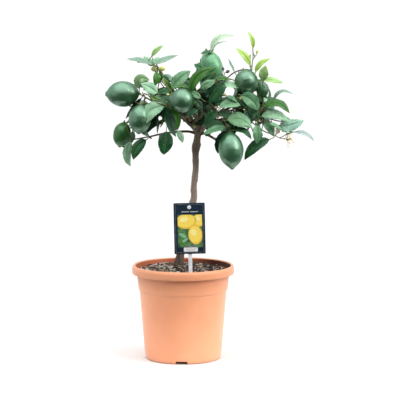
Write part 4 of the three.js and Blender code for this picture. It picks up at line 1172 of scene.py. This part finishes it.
def petal(centre, out, up, length, width, curl, mat, seed):
    r = random.Random(seed)
    n, m = 7, 4
    side = np.cross(out, up)
    v = []
    for k in range(n + 1):
        s = k / n
        w = width / 2 * (math.sin(math.pi * min(1, .12 + s * .86)) ** .7)
        lift = curl * length * s * s
        for j in range(m + 1):
            x = (j / m * 2 - 1)
            p = centre + out * (length * s * (1 - .25 * s * abs(curl))) + up * (lift + .16 * width * x * x) + side * (w * x)
            v.append(p + np.array([r.uniform(-.08, .08) for _ in range(3)]))
    f = [(k * (m + 1) + j, k * (m + 1) + j + 1, (k + 1) * (m + 1) + j + 1, (k + 1) * (m + 1) + j) for k in range(n) for j in range(m)]
    FLOWERS.add(v, f, mat)
    FLOWERS.add(np.array(v) - up * .3, [tuple(reversed(x)) for x in f], mat)


def bud(centre, t, length, dia, mat, seed):
    a = across(t, np.array([.2, .1, 1.0])); b = np.cross(t, a)
    rings, sides = 9, 10
    v, f = [], []
    for k in range(rings):
        s = (k + .5) / rings
        rr = dia / 2 * math.sin(math.pi * s) ** .6 * (1 + .12 * s)
        for i in range(sides):
            w = 2 * math.pi * i / sides
            v.append(centre + t * (length * (s - .5)) + (math.cos(w) * a + math.sin(w) * b) * rr * (1 + .06 * math.cos(5 * w)))
    n = rings * sides
    v += [centre - t * length / 2, centre + t * length / 2]
    f = [(k * sides + i, k * sides + (i + 1) % sides, (k + 1) * sides + (i + 1) % sides, (k + 1) * sides + i) for k in range(rings - 1) for i in range(sides)]
    f += [(n, (i + 1) % sides, i) for i in range(sides)] + [(n + 1, n - sides + i, n - sides + (i + 1) % sides) for i in range(sides)]
    FLOWERS.add(v, f, mat)


for i, (form, at, size) in enumerate(BLOSSOMS):
    r = random.Random(70 + i)
    at = np.array(at, float)
    j, d = SK.join(at, .12)
    t = unit(at - SK.p[j]) if d[j] > 1 else np.array([0, 0, 1.0])
    if form in ("open", "half"):
        t = unit(t + np.array([.2, -.9, .15]))
    foot = at - t * size * .42
    node = grow_to(foot, t, .6, GREEN, 300 + i, pull=.12)
    bud(foot + t * .8, t, 2.4, 3.0, 5, i)
    if form == "open":
        a = across(t, np.array([0, 0, 1.0])); b = np.cross(t, a)
        for k in range(5):
            w = 2 * math.pi * k / 5 + .3
            o = unit((math.cos(w) * a + math.sin(w) * b) * .9 + t * .35)
            petal(foot + t * 1.5, o, unit(t - np.dot(t, o) * o), size * .6, size * .42, -.28 + .1 * r.random(), 0, i * 10 + k)
        for k in range(14):
            w = 2 * math.pi * k / 14
            o = unit(t + (math.cos(w) * a + math.sin(w) * b) * .3)
            tube(FLOWERS, smooth_line([foot + t, foot + t + o * size * .34], 4), np.array([.22, .2, .3, .34]), 5, 2)
    elif form == "half":
        a = across(t, np.array([0, 0, 1.0])); b = np.cross(t, a)
        for k in range(5):
            w = 2 * math.pi * k / 5 + .7
            o = unit((math.cos(w) * a + math.sin(w) * b) * .42 + t * .9)
            petal(foot + t * 1.2, o, unit(-(math.cos(w) * a + math.sin(w) * b)), size * .8, size * .34, .12, 1 if k % 2 else 0, i * 10 + k)
        bud(foot + t * size * .3, t, size * .5, size * .2, 2, i)
    else:
        bud(at, t, size * 1.25, size * .78, 4 if form == "purple" else 3, i)

# ------------------------------------------------------------------ trunk and boughs with their bark
tl = smooth_line([(x, y, TRUNK_BASE[2] + t * TRUNK_H) for x, y, t in TRUNK_LINE], 210 if FINE else 90)


def trunk_radius(t):
    r = 7.6 - 1.4 * min(1, t / .45)
    r += 2.2 * math.exp(-((t - .86) / .035) ** 2)
    r += 1.2 * math.exp(-((t - 1.0) / .03) ** 2)
    for c, h, s in ((.33, .5, .02), (.44, .6, .016), (.545, .7, .014), (.64, .45, .018), (.76, .5, .015)):
        r += h * math.exp(-((t - c) / s) ** 2)
    return r


def bark_skin(line, rads, name, mat, sides, flare=False, depth=.42):
    heap = Heap()
    n = len(line)
    tt, a, b = frames(line)
    run = np.concatenate([[0], np.cumsum(np.linalg.norm(np.diff(line, axis=0), axis=1))])
    verts = np.empty((n, sides, 3))
    for k in range(n):
        for i in range(sides):
            w = 2 * math.pi * i / sides
            dx, dy = math.cos(w), math.sin(w)
            rr = rads[k]
            if flare:
                t = (line[k][2] - TRUNK_BASE[2]) / TRUNK_H
                rr += 4.6 * math.exp(-t / .03) * (1 + .35 * math.cos(3 * w + .6)) + .35 * math.cos(2 * w + t * 9) + .25 * math.cos(3 * w - t * 14)
                # pruning scars
                for tc, wc, h, sp in ((.46, 1.9, 1.2, .010), (.62, 4.4, 1.4, .009), (.83, 2.6, 1.3, .012), (.88, 5.3, 1.5, .012), (.94, 1.0, 1.1, .009)):
                    dw = math.atan2(math.sin(w - wc), math.cos(w - wc))
                    rr += h * math.exp(-((t - tc) / sp) ** 2 - (dw / .5) ** 2)
            size = max(.35, min(1, rads[k] / 5))
            s = run[k]
            ridge = noise.noise(Vector((dx * 2.6, dy * 2.6, s * .035)))
            fine = noise.noise(Vector((dx * 7.5, dy * 7.5, s * .11)) + Vector((9, 0, 0)))
            crack = abs(noise.noise(Vector((dx * 4.6, dy * 4.6, s * .06)) + Vector((0, 5, 0))))
            lent = noise.noise(Vector((dx * 5, dy * 5, s * .6)) + Vector((0, 0, 40)))
            rr += depth * size * (1.1 * ridge + .5 * fine - .9 * max(0, .12 - crack) * 6 + .35 * max(0, lent - .25))
            verts[k, i] = line[k] + (dx * a[k] + dy * b[k]) * rr
    v = verts.reshape(-1, 3)
    f = [(k * sides + i, k * sides + (i + 1) % sides, (k + 1) * sides + (i + 1) % sides, (k + 1) * sides + i)
         for k in range(n - 1) for i in range(sides)]
    v = np.vstack([v, [line[-1] + tt[-1] * rads[-1] * .4, line[0]]])
    f += [((n - 1) * sides + i, (n - 1) * sides + (i + 1) % sides, n * sides) for i in range(sides)]
    f += [((i + 1) % sides, i, n * sides + 1) for i in range(sides)]
    heap.add(v, f, 0)
    return heap.make(name, [mat])


def settle(o, slot=None, *nodes):
    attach(o, "root")
    if nodes:
        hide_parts(*nodes)
    return o


heights = (tl[:, 2] - TRUNK_BASE[2]) / TRUNK_H
trunk = bark_skin(tl, np.array([trunk_radius(t) for t in heights]), "trunk_bark", BARK, 44 if FINE else 24, flare=True)
settle(trunk, "bark", "trunk")
for name, (pts, rads) in LIMBS.items():
    full = smooth_line(pts, 70 if FINE else 40)
    rr = np.interp(np.linspace(0, 1, len(full)), np.linspace(0, 1, len(rads)), rads)
    rr = rr * (1 + .07 * np.sin(np.linspace(0, 19, len(full)) + len(name)))
    # The three boughs at the fork take the trunk's bark, and with it the painted light at its top.
    o = bark_skin(full, rr, name + "_bark", BARK if name in ("bough_left", "bough_centre", "bough_right") else BARK_LIMB, 18, depth=.36)
    settle(o, "bark", *([name] if name in BOUGHS else []))

settle(WOOD.make("twigs_wood", [TWIG_WOOD]), "bark")
settle(GREEN.make("twigs_green", [TWIG_GREEN]), "bark")

MASS_FOR = {"dark": ["crown_core", "back_left", "left_low", "left_inner"], "dark2": ["back_centre", "low_right", "right_low"],
            "mid": ["back_right", "left_mid", "right_front"], "mid2": ["left_tip", "centre_front"],
            "bright": ["right_top", "right_mid"], "pale": ["left_top", "right_tip"], "grey": ["centre_top"],
            "young": ["top_shoot"]}
for kind, heap in LEAVES.items():
    if heap.n:
        o = heap.make("leaves_" + kind, LEAF_MATS[kind])
        if hasattr(o, "cycles") and hasattr(o.cycles, "shadow_terminator_geometry_offset"):
            o.cycles.shadow_terminator_geometry_offset = .25
            o.cycles.shadow_terminator_offset = .1
        settle(o, "young_foliage" if kind in KINDS_YOUNG else "foliage", *["mass_" + m for m in MASS_FOR.get(kind, [])])
for kind, heap in LEMONS.items():
    if heap.n:
        settle(heap.make("lemons_" + kind, [FRUIT[kind]]), "foliage")
settle(TRIM.make("fruit_calyces", [CALYX]), "foliage")
settle(FLOWERS.make("blossom_and_buds", [PETAL, PETAL_OLD, STAMEN, BUD_GREEN, BUD_PURPLE, CALYX]), "young_foliage")


# ------------------------------------------------------------------ pot
def rounded(points, radii, steps=5):
    """A section with its corners rounded."""
    out = []
    n = len(points)
    for i, (p, r) in enumerate(zip(points, radii)):
        p = np.array(p, float)
        if i in (0, n - 1) or r <= 0:
            out.append(p)
            continue
        a, b = np.array(points[i - 1], float) - p, np.array(points[i + 1], float) - p
        la, lb = np.linalg.norm(a), np.linalg.norm(b)
        q = min(r, la * .45, lb * .45)
        p0, p1 = p + a / la * q, p + b / lb * q
        for s in np.linspace(0, 1, steps):
            out.append(p0 * (1 - s) ** 2 + 2 * p * s * (1 - s) + p1 * s ** 2)
    return out


SECTION = [
    ((0, 0), 0), ((11, 0), .5), ((11.6, FLOOR_Z), .8), ((FOOT_R - 2.3, FLOOR_Z), .6), ((FOOT_R - 2.7, 0), .4), ((FOOT_R, 0), 1.0),
    ((FOOT_R + 2.4, 2.6), 2.0), ((75.1, 12), 6), ((85.3, STEP_Z - 2), .9), ((87.4, STEP_Z + .8), 1.3), ((90.2, 164), 3),
    ((93.2, 178.5), 1.2), ((97.4, 179.4), .7), ((97.8, SKIRT_LOW), .35), ((99.5, SKIRT_LOW), .6), ((RIM_R, SKIRT_LOW + 3), 1.5),
    ((RIM_R, POT_H - 4.5), 3.4), ((97.6, POT_H), 1.6), ((94.8, POT_H), 1.0), ((93.4, POT_H - 1), .9), ((88, 163.5), 3),
    ((85.3, STEP_Z + 1.6), 1.5), ((83.2, STEP_Z - 1.2), 1.2), ((73, 14), 4), ((70.6, FLOOR_Z + FLOOR_T), 2), ((0, FLOOR_Z + FLOOR_T), 0)]


def make_pot():
    sec = rounded([p for p, _ in SECTION], [r for _, r in SECTION])
    # long straight stretches get their own loops
    full = [sec[0]]
    for p in sec[1:]:
        d = np.linalg.norm(p - full[-1])
        k = max(1, int(d / 9)) if min(p[0], full[-1][0]) > 8 else max(1, int(d / 24))
        last = full[-1]
        for s in range(1, k + 1):
            full.append(last + (p - last) * s / k)
    seg = 192 if FINE else 96
    bm = bmesh.new()
    rings = []
    for r, z in full:
        if r < 1e-6:
            rings.append([bm.verts.new((0, 0, z * MM))])
        else:
            rings.append([bm.verts.new((r * MM * math.cos(2 * math.pi * i / seg), r * MM * math.sin(2 * math.pi * i / seg), z * MM)) for i in range(seg)])
    for a, b in zip(rings, rings[1:]):
        for i in range(seg):
            j = (i + 1) % seg
            if len(a) == 1:
                bm.faces.new((a[0], b[j], b[i]))
            elif len(b) == 1:
                bm.faces.new((a[i], a[j], b[0]))
            else:
                bm.faces.new((a[i], a[j], b[j], b[i]))
    bmesh.ops.recalc_face_normals(bm, faces=bm.faces)
    mesh = bpy.data.meshes.new("pot_shell")
    bm.to_mesh(mesh)
    bm.free()
    pot = bpy.data.objects.new("pot_shell", mesh)
    bpy.context.scene.collection.objects.link(pot)
    cut = bmesh.new()
    for k in range(4):
        a = -math.pi / 2 - math.radians(1.9) + k * math.pi / 2
        m = bmesh.ops.create_cube(cut, size=1.0)["verts"]
        for v in m:
            x, y, z = v.co
            x, y, z = 62 + x * 50, y * (24 - (2.4 if z > 0 else 0)), (z + .5) * 6.4 - 1.0
            v.co = Vector(((x * math.cos(a) - y * math.sin(a)) * MM, (x * math.sin(a) + y * math.cos(a)) * MM, z * MM))
    for k in range(8):
        a = (k + .5) * math.pi / 4
        m = bmesh.ops.create_cone(cut, cap_ends=True, segments=28, radius1=5 * MM, radius2=5 * MM, depth=14 * MM)["verts"]
        for v in m:
            v.co = Vector((v.co.x + 52 * MM * math.cos(a), v.co.y + 52 * MM * math.sin(a), v.co.z + 7.2 * MM))
    cm = bpy.data.meshes.new("cutters")
    cut.to_mesh(cm)
    cut.free()
    cutter = bpy.data.objects.new("cutters", cm)
    bpy.context.scene.collection.objects.link(cutter)
    mod = pot.modifiers.new("cut", "BOOLEAN")
    mod.operation, mod.solver, mod.object = "DIFFERENCE", "EXACT", cutter
    dg = bpy.context.evaluated_depsgraph_get()
    done = bpy.data.meshes.new_from_object(pot.evaluated_get(dg))
    pot.modifiers.clear()
    pot.data = done
    bpy.data.objects.remove(cutter)
    done.materials.clear()
    done.materials.append(plastic_pot())
    done.materials.append(plastic_pot("pot_terracotta_inside_painted_shade", True))
    done.polygons.foreach_set("use_smooth", np.ones(len(done.polygons), bool))
    done.polygons.foreach_set("material_index", np.array(
        [1 if p.center.z > .15 and p.center.xy.length < .0932 and p.normal.xy.dot(p.center.xy) < 0 else 0
         for p in done.polygons], np.int32))
    # keep the true corners crisp
    done.update()
    bpy.context.view_layer.objects.active = pot
    ang = pot.data
    if hasattr(ang, "set_sharp_from_angle"):
        ang.set_sharp_from_angle(angle=math.radians(38))
    return pot


settle(make_pot(), "pot_plastic", "pot")


# ------------------------------------------------------------------ potting mix
def ground(x, y):
    r = math.hypot(x - TRUNK_BASE[0], y - TRUNK_BASE[1])
    edge = min(1, math.hypot(x, y) / 88)
    bumps = .9 * math.sin(x / 11 + 1.3) * math.cos(y / 13 - .4) + .5 * math.sin((x + y) / 7)
    return SOIL_EDGE_Z + MOUND_H * math.exp(-((r / MOUND_REACH) ** 2)) + bumps * (1 - edge ** 4) * min(1, (r / 30) ** 2)


def make_soil():
    heap = Heap()
    nr, na = 46, 120
    R = 89.6
    v = [(0, 0, ground(0, 0))]
    for k in range(1, nr + 1):
        r = R * k / nr
        for i in range(na):
            a = 2 * math.pi * i / na
            x, y = r * math.cos(a), r * math.sin(a)
            nz = noise.noise(Vector((x * .16, y * .16, 0))) * 1.1 + noise.noise(Vector((x * .45, y * .45, 3))) * .7
            v.append((x, y, ground(x, y) + nz * (1 - (r / R) ** 8) - 1.2))
    f = [(0, 1 + i, 1 + (i + 1) % na) for i in range(na)]
    for k in range(nr - 1):
        for i in range(na):
            a, b = 1 + k * na + i, 1 + k * na + (i + 1) % na
            f.append((a, a + na, b + na, b))
    base = len(v)
    # the block below the surface, down to the pot's floor
    for r, z in ((84.6, 136.6), (82.6, 133), (72.4, 14), (70, 9.4)):
        for i in range(na):
            a = 2 * math.pi * i / na
            v.append((r * math.cos(a), r * math.sin(a), z))
    rows = [1 + (nr - 1) * na, base, base + na, base + 2 * na, base + 3 * na]
    for p, q in zip(rows, rows[1:]):
        for i in range(na):
            j = (i + 1) % na
            f.append((p + i, q + i, q + j, p + j))
    v.append((0, 0, 9.4))
    f += [(rows[-1] + i, len(v) - 1, rows[-1] + (i + 1) % na) for i in range(na)]
    heap.add(v, f, 0)
    return heap.make("potting_mix_block", [SOIL])


settle(make_soil(), "potting_mix", "soil")


def make_chips():
    heap = Heap()
    r = random.Random(77)
    count = 2400 if FINE else 1300
    for c in range(count):
        rad = 88.5 * math.sqrt(r.random())
        a = r.uniform(0, 2 * math.pi)
        x, y = rad * math.cos(a), rad * math.sin(a)
        if math.hypot(x - TRUNK_BASE[0], y - TRUNK_BASE[1]) < 14:
            continue
        size = r.choice([1.3, 1.6, 1.9, 2.2, 2.7, 3.4]) * r.uniform(.8, 1.2)
        if rad + size * 1.3 > 89.5:
            continue
        flat = r.uniform(.3, .7)
        long = r.uniform(1.0, 1.9)
        n, m = 5, 8
        rot = r.uniform(0, 6.28)
        tilt, tdir = r.uniform(0, .5), r.uniform(0, 6.28)
        e = Vector((math.cos(rot), math.sin(rot), tilt * math.cos(tdir))).normalized()
        g2 = Vector((-math.sin(rot), math.cos(rot), tilt * math.sin(tdir))).normalized()
        up = e.cross(g2).normalized()
        cz = ground(x, y) - .6 + size * flat * r.uniform(.1, .75)
        off = Vector((r.uniform(0, 90), r.uniform(0, 90), r.uniform(0, 90)))
        v = []
        for i in range(1, n):
            th = math.pi * i / n
            for j in range(m):
                ph = 2 * math.pi * j / m
                d = Vector((math.sin(th) * math.cos(ph), math.sin(th) * math.sin(ph), math.cos(th)))
                k = 1 + .45 * noise.noise(d * 1.9 + off)
                d = Vector(tuple(math.copysign(abs(q) ** .75, q) for q in d)) * k
                p = e * (d.x * size * long) + g2 * (d.y * size) + up * (d.z * size * flat)
                v.append((x + p.x, y + p.y, cz + p.z))
        top = Vector((x, y, cz)) + up * size * flat
        bot = Vector((x, y, cz)) - up * size * flat
        v += [tuple(top), tuple(bot)]
        f = [(k * m + j, (k + 1) * m + j, (k + 1) * m + (j + 1) % m, k * m + (j + 1) % m) for k in range(n - 2) for j in range(m)]
        f += [((n - 1) * m, j, (j + 1) % m) for j in range(m)] + [((n - 1) * m + 1, (n - 2) * m + (j + 1) % m, (n - 2) * m + j) for j in range(m)]
        heap.add(v, f, r.choices([0, 1, 2, 3], [30, 32, 30, 8] if x < -16 else ([40, 26, 26, 8] if x < 34 else [66, 14, 16, 4]))[0])
    return heap.make("potting_mix_chips", CHIPS, smooth=False)


settle(make_chips(), "potting_mix")

# ------------------------------------------------------------------ plant label
LABEL_AT = Vector((CARD_X, CARD_Y, CARD_LOW))


def card_point(x, z, y):
    """Card coordinates: x across from its middle, z up from its foot, y outwards from the face."""
    t = math.radians(CARD_TILT)
    return (CARD_X + x * math.cos(t) - z * math.sin(t), CARD_Y - CARD_T / 2 - y, CARD_LOW + x * math.sin(t) + z * math.cos(t))


def outline_rect(cx, cz, w, h, r, n=8):
    pts = []
    for sx, sz, a0 in ((1, 1, 0), (-1, 1, 90), (-1, -1, 180), (1, -1, 270)):
        for k in range(n + 1):
            a = math.radians(a0 + 90 * k / n)
            pts.append((cx + sx * (w / 2 - r) + r * math.cos(a), cz + sz * (h / 2 - r) + r * math.sin(a)))
    return pts


def slab(heap, pts, y0, y1, mat):
    """A flat printed or cut shape between two depths, from a convex outline."""
    n = len(pts)
    v = [card_point(x, z, y1) for x, z in pts] + [card_point(x, z, y0) for x, z in pts]
    cx, cz = sum(p[0] for p in pts) / n, sum(p[1] for p in pts) / n
    v += [card_point(cx, cz, y1), card_point(cx, cz, y0)]
    f = [(2 * n, i, (i + 1) % n) for i in range(n)] + [(2 * n + 1, n + (i + 1) % n, n + i) for i in range(n)]
    f += [(i, n + i, n + (i + 1) % n, (i + 1) % n) for i in range(n)]
    heap.add(v, f, mat)


def ellipse(cx, cz, a, b, rot=0, n=40, tip=0.0):
    pts = []
    for k in range(n):
        w = 2 * math.pi * k / n
        x, z = a * math.cos(w), b * math.sin(w)
        if tip:
            x *= 1 + tip * max(0, math.cos(w)) ** 14
        c, s = math.cos(rot), math.sin(rot)
        pts.append((cx + x * c - z * s, cz + x * s + z * c))
    return pts


def make_card():
    heap = Heap()
    # the card with its punched hole: a ring of quads between hole and edge
    hole_z, hole_r = EYE, 4.1
    outer = outline_rect(0, CARD_H / 2, CARD_W, CARD_H, 2.2, 8)
    n = len(outer)
    ang = [math.atan2(z - hole_z, x) for x, z in outer]
    inner = [(hole_r * math.cos(a), hole_z + hole_r * math.sin(a)) for a in ang]
    rows = [outer]
    for s in (.004, .5, .97):
        rows.append([(o[0] * (1 - s) + i[0] * s, o[1] * (1 - s) + i[1] * s) for o, i in zip(outer, inner)])
    rows.append(inner)
    front = [card_point(x, z, 0 if k else -.18) for k, row in enumerate(rows) for x, z in row]
    back = [card_point(x, z, -CARD_T if k else -CARD_T + .18) for k, row in enumerate(rows) for x, z in row]
    v = front + back
    h = len(front)
    f = []
    for k in range(len(rows) - 1):
        for i in range(n):
            j = (i + 1) % n
            a, b, c, d = k * n + i, k * n + j, (k + 1) * n + j, (k + 1) * n + i
            f.append((a, b, c, d))
            f.append((h + d, h + c, h + b, h + a))
    for i in range(n):
        j = (i + 1) % n
        f.append((i, h + i, h + j, j))
        k = (len(rows) - 1) * n
        f.append((k + j, h + k + j, h + k + i, k + i))
    heap.add(v, f, 0)
    o = heap.make("label_card_body", [CARD])
    o.data.set_sharp_from_angle(angle=math.radians(35))
    return o


def make_print():
    heap = Heap()
    mats = [INK_LINE, INK_PICTURE, INK_LEAF, INK_YELLOW, INK_YELLOW_DEEP, INK_HIGHLIGHT, INK_WHITE, INK_GREY, INK_MINT]
    W, H = CARD_W, CARD_H
    # fine border line
    for x, z, w, h in ((0, 2.8, W - 6.4, .5), (0, H - 2.8, W - 6.4, .5)):
        slab(heap, outline_rect(x, z, w, h, .2, 2), -.05, .06, 7)
    for x in (-W / 2 + 3.2, W / 2 - 3.2):
        slab(heap, outline_rect(x, H / 2, .5, H - 5.6, .2, 2), -.05, .06, 7)
    # plain bars where a heading would be
    slab(heap, outline_rect(-7.5, H - 17.2, 15.0, 1.5, .7, 4), -.05, .07, 0)
    slab(heap, outline_rect(9.4, H - 17.2, 14.6, 1.5, .7, 4), -.05, .07, 0)
    # picture of lemons, cut off at its frame
    pw, z0, z1 = 47.4, 12.6, 76.4
    slab(heap, outline_rect(.8, (z0 + z1) / 2, pw, z1 - z0, .8, 4), -.05, .07, 1)
    lx0, lx1 = .8 - pw / 2 + .3, .8 + pw / 2 - .3

    def clip(pts):
        """Cuts a convex outline to the picture's frame."""
        for axis, lim, sign in ((0, lx0, 1), (0, lx1, -1), (1, z0 + .3, 1), (1, z1 - .3, -1)):
            out = []
            for i, p in enumerate(pts):
                q = pts[(i + 1) % len(pts)]
                a, b = (p[axis] - lim) * sign, (q[axis] - lim) * sign
                if a >= 0:
                    out.append(p)
                if a * b < 0:
                    t = a / (a - b)
                    out.append((p[0] + (q[0] - p[0]) * t, p[1] + (q[1] - p[1]) * t))
            pts = out
            if len(pts) < 3:
                return None
        return pts

    def show(pts, depth, mat):
        pts = clip(pts)
        if pts:
            slab(heap, pts, .05, depth, mat)

    def painted_leaf(cx, cz, a, rot, depth, mat=2):
        m = 20
        up = [(a * (2 * k / (m - 1) - 1), a * .4 * math.sin(math.pi * k / (m - 1)) ** .8) for k in range(m)]
        pts = up[::-1] + [(x, -z) for x, z in up[1:-1]]
        c, s = math.cos(rot), math.sin(rot)
        show([(cx + x * c - z * s, cz + x * s + z * c) for x, z in pts], depth, mat)

    for cx, cz, a, rot, dp, mt in ((-15, 42, 13, -.9, .09, 2), (-12, 33, 14, .5, .10, 2), (-17, 24, 11, -.3, .11, 2), (-8, 19, 12, .2, .09, 2),
                                   (-13.5, 36, 8.5, -.5, .12, 8), (-9, 27, 6.5, .6, .12, 8), (5, 74, 9, -1.2, .09, 2), (21, 46, 8, 1.3, .09, 2),
                                   (18, 17, 10, .4, .09, 2), (1, 48, 9, .3, .09, 2)):
        painted_leaf(cx, cz, a, rot, dp, mt)
    for cx, cz, a, b, rot, dp in ((18.5, 65.0, 12.4, 12.6, -.4, .11), (-6.4, 63.4, 19.4, 14.6, .06, .15), (11.0, 37.0, 13.6, 18.6, .1, .19)):
        show(ellipse(cx, cz, a, b, rot), dp, 4)
        show(ellipse(cx - .7, cz + 1.1, a * .88, b * .86, rot), dp + .02, 3)
        show(ellipse(cx - a * .22, cz + b * .26, a * .42, b * .34, rot + .3), dp + .04, 5)
    # plain bars and panel below the picture
    slab(heap, outline_rect(1.2, 15.0, 24, 2.0, .5, 3), .1, .24, 7)
    slab(heap, outline_rect(1.6, 8.6, 27, 8.0, .8, 4), -.05, .26, 6)
    slab(heap, outline_rect(1.6, 9.6, 20, .7, .3, 3), .05, .29, 7)
    slab(heap, outline_rect(1.6, 7.4, 16, .7, .3, 3), .05, .29, 7)
    return heap.make("label_print", mats, smooth=False)


settle(make_card(), "label_card", "label_card")
settle(make_print(), "label_card")


def make_stick():
    """A flat plastic stake with rounded edges, down into the mix, and the round button through the card's hole."""
    heap = Heap()
    w, d = 7.4, 1.8
    y = -CARD_T / 2 - .35 - d / 2      # depth behind the card's face, as card_point takes it
    pts = []
    for k in range(32):
        a = 2 * math.pi * k / 32
        cx, cy = math.cos(a), math.sin(a)
        pts.append((math.copysign(abs(cx) ** .5, cx) * w / 2, math.copysign(abs(cy) ** .6, cy) * d / 2 * (.78 if abs(cx) < .55 and cy < 0 else 1)))
    foot = SOIL_EDGE_Z - 46 - CARD_LOW
    zs = list(np.linspace(foot, foot + 9, 5)) + list(np.linspace(foot + 16, EYE - 4, 22)) + [EYE + w / 2 * math.sin(t) for t in np.linspace(0, math.pi / 2 - .06, 10)]
    v = []
    for z in zs:
        s = max(.06, min(1, (z - foot) / 9)) if z < foot + 9 else (math.sqrt(max(.02, 1 - ((z - EYE) / (w / 2)) ** 2)) if z > EYE else 1.0)
        for x, yy in pts:
            v.append(card_point(x * s, z, y - CARD_T / 2 + yy))
    n = len(pts)
    f = [(k * n + i, (k + 1) * n + i, (k + 1) * n + (i + 1) % n, k * n + (i + 1) % n) for k in range(len(zs) - 1) for i in range(n)]
    v += [card_point(0, foot, y - CARD_T / 2), card_point(0, EYE + w / 2, y - CARD_T / 2)]
    m = len(zs)
    f += [(i, (i + 1) % n, m * n) for i in range(n)] + [((m - 1) * n + (i + 1) % n, (m - 1) * n + i, m * n + 1) for i in range(n)]
    heap.add(v, f, 0)
    # button: a short pin with a domed, rounded head
    rings = [(3.7, y - CARD_T / 2), (3.7, .25), (3.62, .42), (3.3, .55), (2.6, .64), (1.4, .7)]
    v = []
    for r, yy in rings:
        for k in range(40):
            a = 2 * math.pi * k / 40
            v.append(card_point(r * math.cos(a), EYE + r * math.sin(a), yy))
    v += [card_point(0, EYE, .72), card_point(0, EYE, y - CARD_T / 2)]
    f = [(k * 40 + i, k * 40 + (i + 1) % 40, (k + 1) * 40 + (i + 1) % 40, (k + 1) * 40 + i) for k in range(5) for i in range(40)]
    f += [(200 + i, 200 + (i + 1) % 40, 240) for i in range(40)] + [((i + 1) % 40, i, 241) for i in range(40)]
    heap.add(v, f, 0)
    return heap.make("label_stick_body", [STICK])


settle(make_stick(), "label_stick", "label_stick")

# ------------------------------------------------------------------ floor, light, camera
world = bpy.data.worlds.new("studio")
bpy.context.scene.world = world
world.use_nodes = True
wt = world.node_tree
bg = wt.nodes["Background"]


def wnode(kind, **ins):
    n = wt.nodes.new(kind)
    for k, x in ins.items():
        n.inputs[k.replace("_", " ")].default_value = x
    return n


# a white sweep behind and above, and the darker room in front of it
sky = wnode("ShaderNodeTexCoord")
parts = wnode("ShaderNodeSeparateXYZ")
wt.links.new(sky.outputs["Generated"], parts.inputs[0])
height = wt.nodes.new("ShaderNodeMath")
height.operation = "MULTIPLY"
height.inputs[1].default_value = .9
wt.links.new(parts.outputs["Z"], height.inputs[0])
total = wt.nodes.new("ShaderNodeMath")
total.operation = "ADD"
wt.links.new(parts.outputs["Y"], total.inputs[0])
wt.links.new(height.outputs[0], total.inputs[1])
level = wnode("ShaderNodeMapRange", From_Min=-.75, From_Max=.55, To_Min=.07, To_Max=1.0)
level.interpolation_type = "SMOOTHSTEP"
wt.links.new(total.outputs[0], level.inputs["Value"])
seen_by = wnode("ShaderNodeLightPath")
pick = wt.nodes.new("ShaderNodeMix")
pick.data_type = "FLOAT"
pick.inputs[3].default_value = 1.06
wt.links.new(seen_by.outputs["Is Camera Ray"], pick.inputs[0])
wt.links.new(level.outputs["Result"], pick.inputs[2])
wt.links.new(pick.outputs[0], bg.inputs["Strength"])
bg.inputs["Color"].default_value = (1, 1, 1, 1)

floor_mat = Paint("studio_floor", .9)
floor_mat.colour(floor_mat.ramp(floor_mat.noise(3, 2), [(0.3, (.70, .70, .70, 1)), (.7, (.715, .715, .715, 1))]))
sheet = bpy.data.meshes.new("studio_floor")
sheet.from_pydata([(-.5, -.23, -.0006), (.5, -.23, -.0006), (.5, 1.2, -.0006), (-.5, 1.2, -.0006)], [], [(0, 1, 2, 3)])
floor = bpy.data.objects.new("studio_floor", sheet)
bpy.context.scene.collection.objects.link(floor)
floor.data.materials.append(floor_mat.mat)


def light(name, at, to, size, power, colour=(1, 1, 1)):
    d = bpy.data.lights.new(name, "AREA")
    d.shape, d.size, d.size_y, d.energy, d.color = "RECTANGLE", size[0], size[1], power, colour
    o = bpy.data.objects.new(name, d)
    o.location = at
    o.rotation_euler = (Vector(to) - Vector(at)).to_track_quat("-Z", "Y").to_euler()
    bpy.context.scene.collection.objects.link(o)
    return o


def sun(name, way, energy, angle, colour=(1, 1, 1)):
    d = bpy.data.lights.new(name, "SUN")
    d.energy, d.angle, d.color = energy, math.radians(angle), colour
    o = bpy.data.objects.new(name, d)
    o.rotation_euler = Vector(way).to_track_quat("Z", "Y").to_euler()
    bpy.context.scene.collection.objects.link(o)
    return o


light("fill_right", (2.6, -2.2, 1.0), (.03, 0, .3), (2.6, 2.4), 7.5, (1.0, .96, .8))
light("fill_left", (-2.6, -1.8, .8), (.03, 0, .3), (2.4, 2.4), 12.0, (1.0, .9, .92))
sun("overhead_softbox", (.05, -.34, 1.0), 3.0, 94)
sun("side_softbox", (1.0, -.5, .6), 1.5, 34, (1.0, .97, .9))

cam = bpy.data.cameras.new("camera")
cam.sensor_width = 36
cam.lens = FOCAL / 400 * 36
cam.clip_start, cam.clip_end = .05, 60
camera = bpy.data.objects.new("camera", cam)
camera.location = tuple(CAM_AT * MM)
camera.rotation_euler = (math.radians(90) - PITCH, 0, 0)
bpy.context.scene.collection.objects.link(camera)
bpy.context.scene.camera = camera
bpy.context.scene.view_settings.view_transform = "Standard"
bpy.context.scene.view_settings.look = "None"
bpy.context.scene.view_settings.exposure = 0.0
